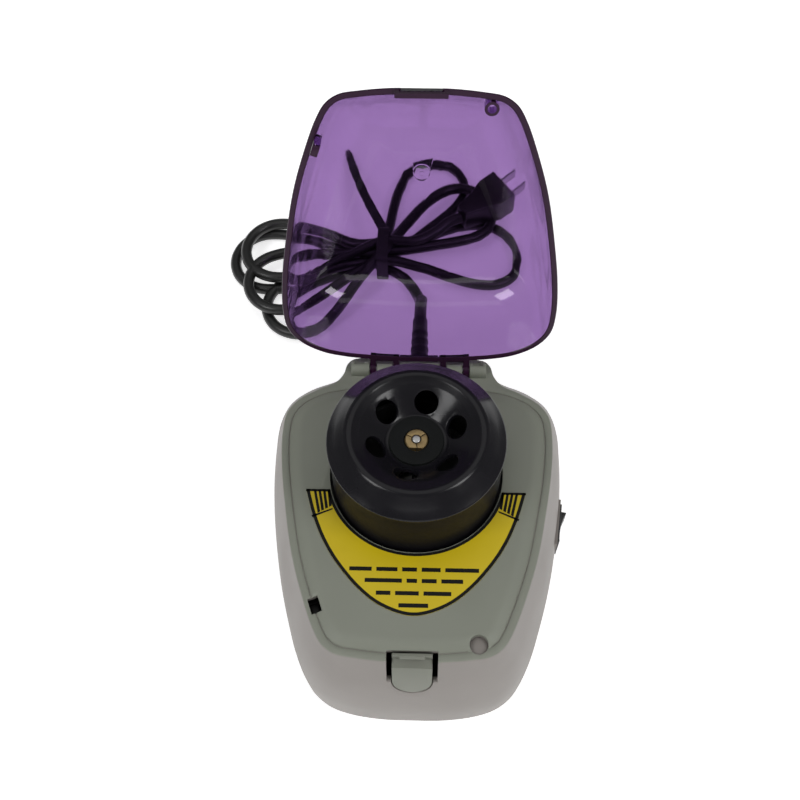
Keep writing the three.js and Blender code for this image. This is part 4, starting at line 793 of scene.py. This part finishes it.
def flat_piece(name, outlines, height, thickness=0.04):
    """Printed shapes as one thin mesh: each outline is a closed list of points."""
    clear_selection()
    mesh = bpy.data.meshes.new(name)
    build = bmesh.new()
    for outline in outlines:
        build.faces.new([build.verts.new(place(p[0], p[1], height)) for p in outline])
    bmesh.ops.recalc_face_normals(build, faces=build.faces)
    for face in build.faces:
        if face.normal.z < 0:
            face.normal_flip()
    bmesh.ops.triangulate(build, faces=build.faces)
    build.to_mesh(mesh)
    build.free()
    piece = bpy.data.objects.new(name, mesh)
    bpy.context.scene.collection.objects.link(piece)
    return finished(piece, "SOLIDIFY", thickness=thickness * MM, offset=-1)


label_top = label_edge[0][1] * FRONT
film = flat_piece("label_film", [outer_curve() + inner_curve(LABEL_HOLE, label_top)], LABEL_TOP, 0.4)
label_yellow = surface("label_yellow", (0.74, 0.56, 0.0), (0.66, 0.49, 0.0), 0.42, 0.08, 0.3, 0.01, 12)
dressed(film, label_yellow, "base", "label_yellow", "deck_label")
print_black = surface("print_black", (0.006, 0.006, 0.006), (0.01, 0.01, 0.009), 0.45, 0.1, 0.3, 0.01, 8,
                      Specular_IOR_Level=0.15)


def band(first, second):
    """Quads between two lines of equal length."""
    return [[first[k], first[k + 1], second[k + 1], second[k]] for k in range(len(first) - 1)]


ink = band(outer_curve(0), outer_curve(EDGE_LINE))
ink += band(inner_curve(LABEL_HOLE + HOLE_LINE, label_top), inner_curve(LABEL_HOLE, label_top))
for side in (-1, 1):
    corner = side * 0.785 * HALF_WIDTH
    hole = side * math.sqrt(LABEL_HOLE**2 - (label_top - ROTOR_Y) ** 2)
    ink.append([(corner, label_top), (hole, label_top), (hole, label_top - TOP_LINE),
                (corner, label_top - TOP_LINE)])
    ink.append([(side * 47.6, -22.2), (side * 38, -18.3), (side * 38.3, -19.2), (side * 47.2, -23.2)])
    for k in range(4):
        x = side * (47.5 - 2.15 * k)
        foot = side * (44.9 - 1.7 * k)
        drop = -20.6 + 1.05 * k
        ink.append([(x, label_top - 0.5), (x - side * 1.15, label_top - 0.5), (foot - side * 1.2, drop + 0.3),
                    (foot, drop - 0.4)])
# height on the label and the length of each bar in the row
rows = [(-47.7, (10, 9.4, 6.6, 8.4, 15)), (-53.0, (16.5, 4.6, 6.6, 9.6)), (-58.8, (6.4, 10.4, 12.2)),
        (-64.4, (13,))]
for y, bars in rows:
    low, high = y - BAR_HALF_HEIGHT, y + BAR_HALF_HEIGHT
    x = -(sum(bars) + BAR_GAP * (len(bars) - 1)) / 2
    for bar in bars:
        ink.append([(x, low), (x + bar, low), (x + bar, high), (x, high)])
        x += bar + BAR_GAP
print_layer = flat_piece("label_print", ink, LABEL_TOP + 0.05)
dressed(print_layer, print_black, "base", "label_yellow")

# ---------------------------------------------------------------- rotor
# A glossy black moulding: rolled lip, sloping outer face, thin flange and a skirt that goes down
# into the deck. Six tube holes are bored through its dished inner wall, round a matt hub.

TOP = 112.2
LIP_CENTRE, LIP_RADIUS = 29.7, 3.5
DISH_FLOOR = 102.0
HUB_RADIUS = 12.3
HUB_TOP = 103.6
SKIRT = 39.3
TILT = math.radians(38)
slope = math.tan(TILT)
lip_arc = [(LIP_CENTRE + LIP_RADIUS * math.cos(math.radians(t)),
            TOP - LIP_RADIUS + LIP_RADIUS * math.sin(math.radians(t))) for t in range(42, 131, 11)]
dish = [(25.3, 110.75), (24.3, 110.2), (22, 108.62), (18.5, 105.9), (15.5, 103.56), (14.1, 102.5),
        (13.5, 102.12), (12.45, DISH_FLOOR), (HUB_RADIUS, DISH_FLOOR + 0.1), (HUB_RADIUS, HUB_TOP - 0.25),
        (HUB_RADIUS - 0.25, HUB_TOP), (5.8, HUB_TOP), (5.55, HUB_TOP - 0.25)]
under = [(5.55, 90.1), (9.45, 90.1), (9.45, 100.2), (14.3, 100.2), (25.5, 108.6), (28, 109.8), (31.1, 109.4),
         (36.9, 103.5), (37.5, 102.4), (37.5, 66.2), (37.7, 66)]
outside = [(39.1, 66), (SKIRT, 66.2), (SKIRT, 84), (SKIRT, 102.9), (SKIRT + 0.25, 103.3), (39.75, 103.5),
           (40, 103.7), (40, 104.3), (39.8, 104.6), (39.4, 104.85), (36.2, 107.7), (33.2, 110.35)]
rotor = turned("tube_rotor", outside + lip_arc + dish + under, steps=128, looped=True)
PITCH, PHASE = 18.5, math.radians(17)
TUBE_HOLES, TUBE_RADIUS, TUBE_HALF_DEPTH = 6, 5.5, 5.5
DISH_CORNER = 13.7
hole_height = DISH_FLOOR + (PITCH - DISH_CORNER) * slope + 0.1
for k in range(TUBE_HOLES):
    bore = rod_along("tube_bore", "z", TUBE_RADIUS, -TUBE_HALF_DEPTH, TUBE_HALF_DEPTH, 0, 0, 48)
    bore.data.transform(Matrix.Translation(-DATUM))
    bore.data.transform(Matrix.Rotation(-TILT, 4, "Y"))
    bore.data.transform(Matrix.Translation(Vector((PITCH, 0, hole_height)) * MM))
    bore.data.transform(Matrix.Rotation(PHASE + k * math.pi / 3, 4, "Z"))
    bore.data.transform(Matrix.Translation(place(0, ROTOR_Y, 0)))
    cut_from(rotor, bore)
eased(rotor, 0.3, 2, 40)
shaded(rotor, 40)
rotor_black = surface("rotor_black", (0.006, 0.006, 0.008), (0.011, 0.01, 0.013), 0.2, 0.1, 0.8, 0.01, 14,
                      Specular_IOR_Level=0.3)
hub_black = surface("hub_black", (0.006, 0.007, 0.007), (0.01, 0.011, 0.011), 0.6, 0.1, 0.3, 0.03, 5,
                    Specular_IOR_Level=0.12)
dressed(rotor, rotor_black, "spinner", "rotor_black", "rotor")
rotor.data.materials.append(hub_black)
skirt_black = surface("skirt_black", (0.006, 0.006, 0.008), (0.011, 0.01, 0.013), 0.38, 0.1, 0.8, 0.01, 14,
                      Specular_IOR_Level=0.06)
rotor.data.materials.append(skirt_black)
HUB_ZONE, HUB_ZONE_LOW = 12.6, 101.9
SKIRT_ZONE, SKIRT_ZONE_TOP = 37, 103.2
axis = place(0, ROTOR_Y, 0)
for face in rotor.data.polygons:
    out = math.hypot(face.center.x - axis.x, face.center.y - axis.y) / MM
    if out < HUB_ZONE and face.center.z > HUB_ZONE_LOW * MM:
        face.material_index = 1
    elif out > SKIRT_ZONE and face.center.z < SKIRT_ZONE_TOP * MM:
        face.material_index = 2

collet_brass = surface("collet_brass", (0.42, 0.31, 0.15), (0.30, 0.21, 0.10), 0.42, 0.16, 0.12, 0.02, 3, 0.9)
dressed(from_cad("rotor_collet", "collet", 0.12), collet_brass, "spinner", "collet_brass", "rotor_collet")
dressed(from_cad("motor_shaft", "spindle", 0.15), bright_steel, "spinner", "steel", "motor_shaft")
chamber_black = surface("chamber_black", (0.014, 0.014, 0.015), (0.022, 0.022, 0.022), 0.5, 0.1, 0.5, 0.03,
                        15)
dressed(from_cad("rotor_chamber", "chamber", 0.3, 2, 25), chamber_black, "base", "chamber_black",
        "rotor_chamber")

# ---------------------------------------------------------------- lid
# A clear purple dome, 2.4 mm thick, with the moulding gate on its crown, swung open past upright.
# Its rim carries a catch bar in a notch, a ring boss, an interlock tab, three lip segments and
# four fingers round the hinge pin.

RIM_Z = 70.3
LID_DEPTH = 48
LID_WALL = 2.4
crown = Vector((0, -7.3))
shares = [
    0.02, 0.09, 0.17, 0.26, 0.36, 0.46, 0.56, 0.65, 0.73, 0.8, 0.86, 0.905, 0.94, 0.965, 0.98, 0.991, 0.998,
]


def dome_rings(rim, depth):
    """Rings from near the crown out to near the rim, domed by a depth."""
    rings = []
    for share in shares:
        ring = []
        for p in rim:
            out = p - crown
            rearward = 0.5 + 0.5 * out.y / out.length
            rise = depth * (1 - share ** (2.4 + 2.6 * rearward)) ** (1 / (1.2 + 2.3 * rearward))
            ring.append(place(crown.x + out.x * share, crown.y + out.y * share, RIM_Z + rise))
        rings.append(ring)
    return rings


outer_rim = smoothed(lid_ring)
inner_rim = smoothed(moved_in(lid_ring, LID_WALL + 0.3))
lid_rings = dome_rings(outer_rim, LID_DEPTH)
lid_rings += [raised(outer_rim, RIM_Z + 0.5), raised(smoothed(moved_in(lid_ring, 0.35)), RIM_Z),
              raised(smoothed(moved_in(lid_ring, LID_WALL - 0.05)), RIM_Z), raised(inner_rim, RIM_Z + 0.35)]
lid_rings += reversed(dome_rings(inner_rim, LID_DEPTH - LID_WALL))
lid = lofted("clear_lid", lid_rings)

BAR_FRONT, BAR_BACK, BAR_TOP = -88.2, -86.2, 68.2
GATE_Y = -27.3
LIP_FRONT, LIP_BACK = 50.3, 53.8
FINGER_RADIUS = 3.3
OPEN = math.radians(107.6)
RIM_BAND = 1.6
bar_outer, bar_inner = LATCH_HALF - 0.4, TONGUE_HALF + 0.3
cut_from(lid, box_piece("notch", (-8.5, -94, BAR_TOP), (8.5, -85.4, 73.3)))
tab = set_at(box_piece("tab", (-1.9, -2.6, 62.5), (1.3, 2.6, 74)), INTERLOCK_TURN, "Z", INTERLOCK_AT)
extras = [
    box_piece("bar", (-bar_outer, BAR_FRONT, BAR_TOP - 2), (bar_outer, BAR_BACK, BAR_TOP)),
    eased(tab, 0.4),
    rod_along("gate", "z", 4, 112.9, 117.2, 0, GATE_Y, 40),
    rod_along("gate_pip", "z", 1.1, 112.6, 113.2, 0, GATE_Y, 24),
    turned("ring_boss", [(3.05, 69.2), (3.05, 76), (1.85, 76), (1.85, 69.2)], POCKET_X, POCKET_Y, 48,
           looped=True),
]
for side in (-1, 1):
    xs = sorted((side * bar_inner, side * bar_outer))
    extras.append(box_piece("leg", (xs[0], BAR_FRONT, BAR_TOP - 1.99), (xs[1], BAR_BACK, 71.3)))
for x0, x1 in ((-24, -10), (-9.5, 9.5), (10, 24)):
    extras.append(eased(box_piece("lip", (x0, LIP_FRONT, RIM_Z + 1), (x1, LIP_BACK, RIM_Z + 3.6)), 0.5))
for x in FINGERS:
    extras.append(rod_along("finger", "x", FINGER_RADIUS, x - 1.4, x + 1.4, HINGE_Y, HINGE_Z, 40))
    extras.append(box_piece("arm", (x - 1.39, LIP_FRONT, RIM_Z), (x + 1.39, HINGE_Y, HINGE_Z + 3.25)))
fused(lid, *extras)
cut_from(lid, rod_along("pin_room", "x", PIN_ROOM, -reach, reach, HINGE_Y, HINGE_Z, 24))
hinge_line = place(0, HINGE_Y, HINGE_Z)
swing = Matrix.Translation(hinge_line) @ Matrix.Rotation(-OPEN, 4, "X") @ Matrix.Translation(-hinge_line)
rim_faces = {p.index for p in lid.data.polygons if all(
    lid.data.vertices[v].co.z < (RIM_Z + RIM_BAND) * MM for v in p.vertices)}
lid.data.transform(swing)
shaded(lid, 35)


def clear_purple(name, colour, shade, roughness):
    """A see-through purple plastic."""
    return surface(name, colour, shade, roughness, 0.02, 0.9, 0.004, 25, Transmission_Weight=1.0, IOR=1.49)


lid_purple = clear_purple("lid_purple", (0.29, 0.165, 0.40), (0.26, 0.145, 0.37), 0.03)
# Painted shade: the rim band is the same clear plastic, but it is given an opaque near-black purple for the
# dark look of its edge.
rim_painted_shade = surface("rim_painted_shade", (0.036, 0.01, 0.034), (0.022, 0.006, 0.021), 0.2, 0.05, 0.9, 0.004, 25,
                     Specular_IOR_Level=0.2)
dressed(lid, lid_purple, "lid", "lid_purple", "lid")
lid.data.materials.append(rim_painted_shade)
# The rim band's faces take the painted shade.
for index in rim_faces:
    lid.data.polygons[index].material_index = 1
dressed(from_cad("hinge_pin", "hinge_rod", 0.2), bright_steel, "base", "steel", "hinge_pin")

# ---------------------------------------------------------------- latch tongue
# The front tongue of the same grey plastic, coloured a darker grey than the housing as painted shade, with a
# recess under its top edge for the catch bar.

# Painted shade: the tongue gets a darker copy of the housing's grey.
tongue_painted_shade = surface("tongue_painted_shade", (0.2, 0.208, 0.17), (0.183, 0.19, 0.156), 0.5, 0.08, 0.5, 0.02, 30)
dressed(from_cad("latch_tongue", "tongue", 0.3), tongue_painted_shade, "latch", "housing_grey", "latch_tongue")

# ---------------------------------------------------------------- power switch and interlock
# A snap-in rocker switch in satin black, and the small switch that the lid's tab works.

switch_black = surface("switch_black", (0.014, 0.014, 0.015), (0.022, 0.022, 0.022), 0.32, 0.1, 0.4, 0.02, 8)
dressed(from_cad("switch_body", "switch_frame", 0.35), switch_black, "base", "switch_black", "switch_body")
dressed(from_cad("power_rocker", "rocker", 0.35), switch_black, "rocker", "switch_black", "power_rocker")
dressed(from_cad("interlock_switch", "interlock_case", 0.25), chamber_black, "base", "chamber_black",
        "interlock_switch")
dressed(from_cad("interlock_plunger", "interlock_pin", 0.3), chamber_black, "plunger", "chamber_black",
        "interlock_plunger")

# ---------------------------------------------------------------- motor and electronics
# Inside, out of sight: a brushed motor hung on three rubber mounts, and a small supply board.

motor_copper = surface("motor_copper", (0.50, 0.22, 0.10), (0.40, 0.17, 0.08), 0.4, 0.15, 0.3, 0.05, 4, 0.9)
ferrite = surface("ferrite", (0.05, 0.05, 0.048), (0.08, 0.078, 0.07), 0.6, 0.15, 0.4, 0.05, 6)
board_green = surface("board_green", (0.02, 0.14, 0.05), (0.03, 0.17, 0.07), 0.4, 0.12, 0.5, 0.03, 9)
wire_red = surface("wire_red", (0.42, 0.03, 0.02), (0.34, 0.02, 0.02), 0.45, 0.1, 0.5, 0.02, 10)
cord_black = surface("cord_black", (0.011, 0.011, 0.011), (0.017, 0.017, 0.017), 0.34, 0.12, 0.5, 0.015, 14)
inner_parts = [
    (bright_steel, "steel", ("motor_plate", "motor_can", "motor_screw_1", "motor_screw_2", "fuse")),
    (foot_rubber, "foot_rubber", ("motor_isolator_1", "motor_isolator_2", "motor_isolator_3")),
    (collet_brass, "collet_brass", ("motor_bearing_top", "motor_bearing_bottom")),
    (chamber_black, "chamber_black", ("motor_end_cap", "filter_capacitor")),
    (ferrite, "ferrite", ("motor_magnet_1", "motor_magnet_2", "motor_brush_1", "motor_brush_2",
                          "transformer")),
    (motor_copper, "motor_copper", ("motor_armature", "motor_commutator")),
    (board_green, "board_green", ("power_board",)),
    (wire_red, "wire_red", ("switch_wire", "motor_wire")),
    (cord_black, "cord_black", ("supply_wire",)),
]
for finish, slot_name, names in inner_parts:
    for name in names:
        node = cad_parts[name]
        node.data.materials.clear()
        node.data.materials.append(finish)

# ---------------------------------------------------------------- relief, strap and plug
# A moulded relief tapers off the rear wall; a flat strap with a long tail holds the folded lead;
# the plug has two flat blades and lies on the folds.

relief = turned("cord_guard", [
    (0.01, -9.9), (6.2, -9.9), (6.3, -8.2), (5, -7.6), (5, 0.4), (5.9, 0.4), (6, 0.7), (6, 2.7), (5.6, 3.1),
    (4.9, 4), (4.75, 7), (4.95, 7.3), (4.9, 9), (4.55, 9.4), (4.5, 12), (4.75, 12.3), (4.7, 14), (4.35, 14.4),
    (4.3, 17), (4.55, 17.3), (4.5, 19), (4.2, 19.4), (4.15, 22), (4.35, 22.3), (4.3, 24), (4.05, 24.4),
    (4, 32.1), (3.8, 32.7), (0.01, 32.8)], 0, 0, 48)
set_at(relief, RELIEF_TURN, "X", RELIEF_AT)
dressed(shaded(relief, 40), cord_black, "base", "cord_black", "cord_relief")
mains_lead.data.materials.append(cord_black)

STRAP_CORNER = 2.9
strap_path = []
for centre, start in (((-10.3, 4.0), 180), ((10.3, 4.0), 270), ((10.3, 18.9), 0), ((-10.3, 18.9), 90)):
    for k in range(5):
        turn = math.radians(start + k * 22.5)
        strap_path.append((centre[0] + STRAP_CORNER * math.cos(turn),
                           centre[1] + STRAP_CORNER * math.sin(turn), turn))


def strap_ring(y, z, turn, wide=3.5, thick=0.75):
    """The strap's cross-section at one place on its loop, facing outwards by a turn."""
    corners = [(-wide, -0.6), (-wide, 0.6), (-wide + 0.3, 1), (wide - 0.3, 1), (wide, 0.6), (wide, -0.6),
               (wide - 0.3, -1), (-wide + 0.3, -1)]
    return [place(TIE.x + x, TIE.y + y + math.cos(turn) * t * thick, z + math.sin(turn) * t * thick)
            for x, t in corners]


strap = lofted("strap", [strap_ring(*p) for p in strap_path], looped=True)
tail_turn = math.radians(112)
ahead = Vector((math.cos(tail_turn), math.sin(tail_turn)))
aside = Vector((-ahead.y, ahead.x))
tail_rings = []
for k in range(19):
    run = k / 18
    centre = Vector((TIE.x, TIE.y + 13)) + ahead * (-6 + 97.5 * run) + aside * (1.4 * math.sin(math.pi * run))
    level = 20.3 - 18.1 * run ** 1.25
    width = 3.0 if k < 17 else (2.6 if k == 17 else 1.6)
    edge = width - 0.4
    outline = [(-width, -0.35), (-width, 0.35), (-edge, 0.7), (edge, 0.7), (width, 0.35), (width, -0.35),
               (edge, -0.7), (-edge, -0.7)]
    tail_rings.append([place(centre.x + aside.x * a, centre.y + aside.y * a, level + b) for a, b in outline])
tail = lofted("tail", tail_rings)
joined(strap, tail)
strap_black = surface("strap_black", (0.016, 0.016, 0.016), (0.026, 0.026, 0.026), 0.5, 0.12, 0.6, 0.05, 10)
dressed(shaded(strap, 40), strap_black, "base", "cord_black", "cord_tie")

plug = from_cad("plug_body", "plug_moulding", 2.0, 4, 20)
dressed(plug, cord_black, "base", "cord_black", "plug_body")
blades = [dressed(from_cad(f"plug_blade_{k}", f"blade_{k}", 0.3), bright_steel, "base", "steel",
                  f"plug_blade_{k}") for k in (1, 2)]
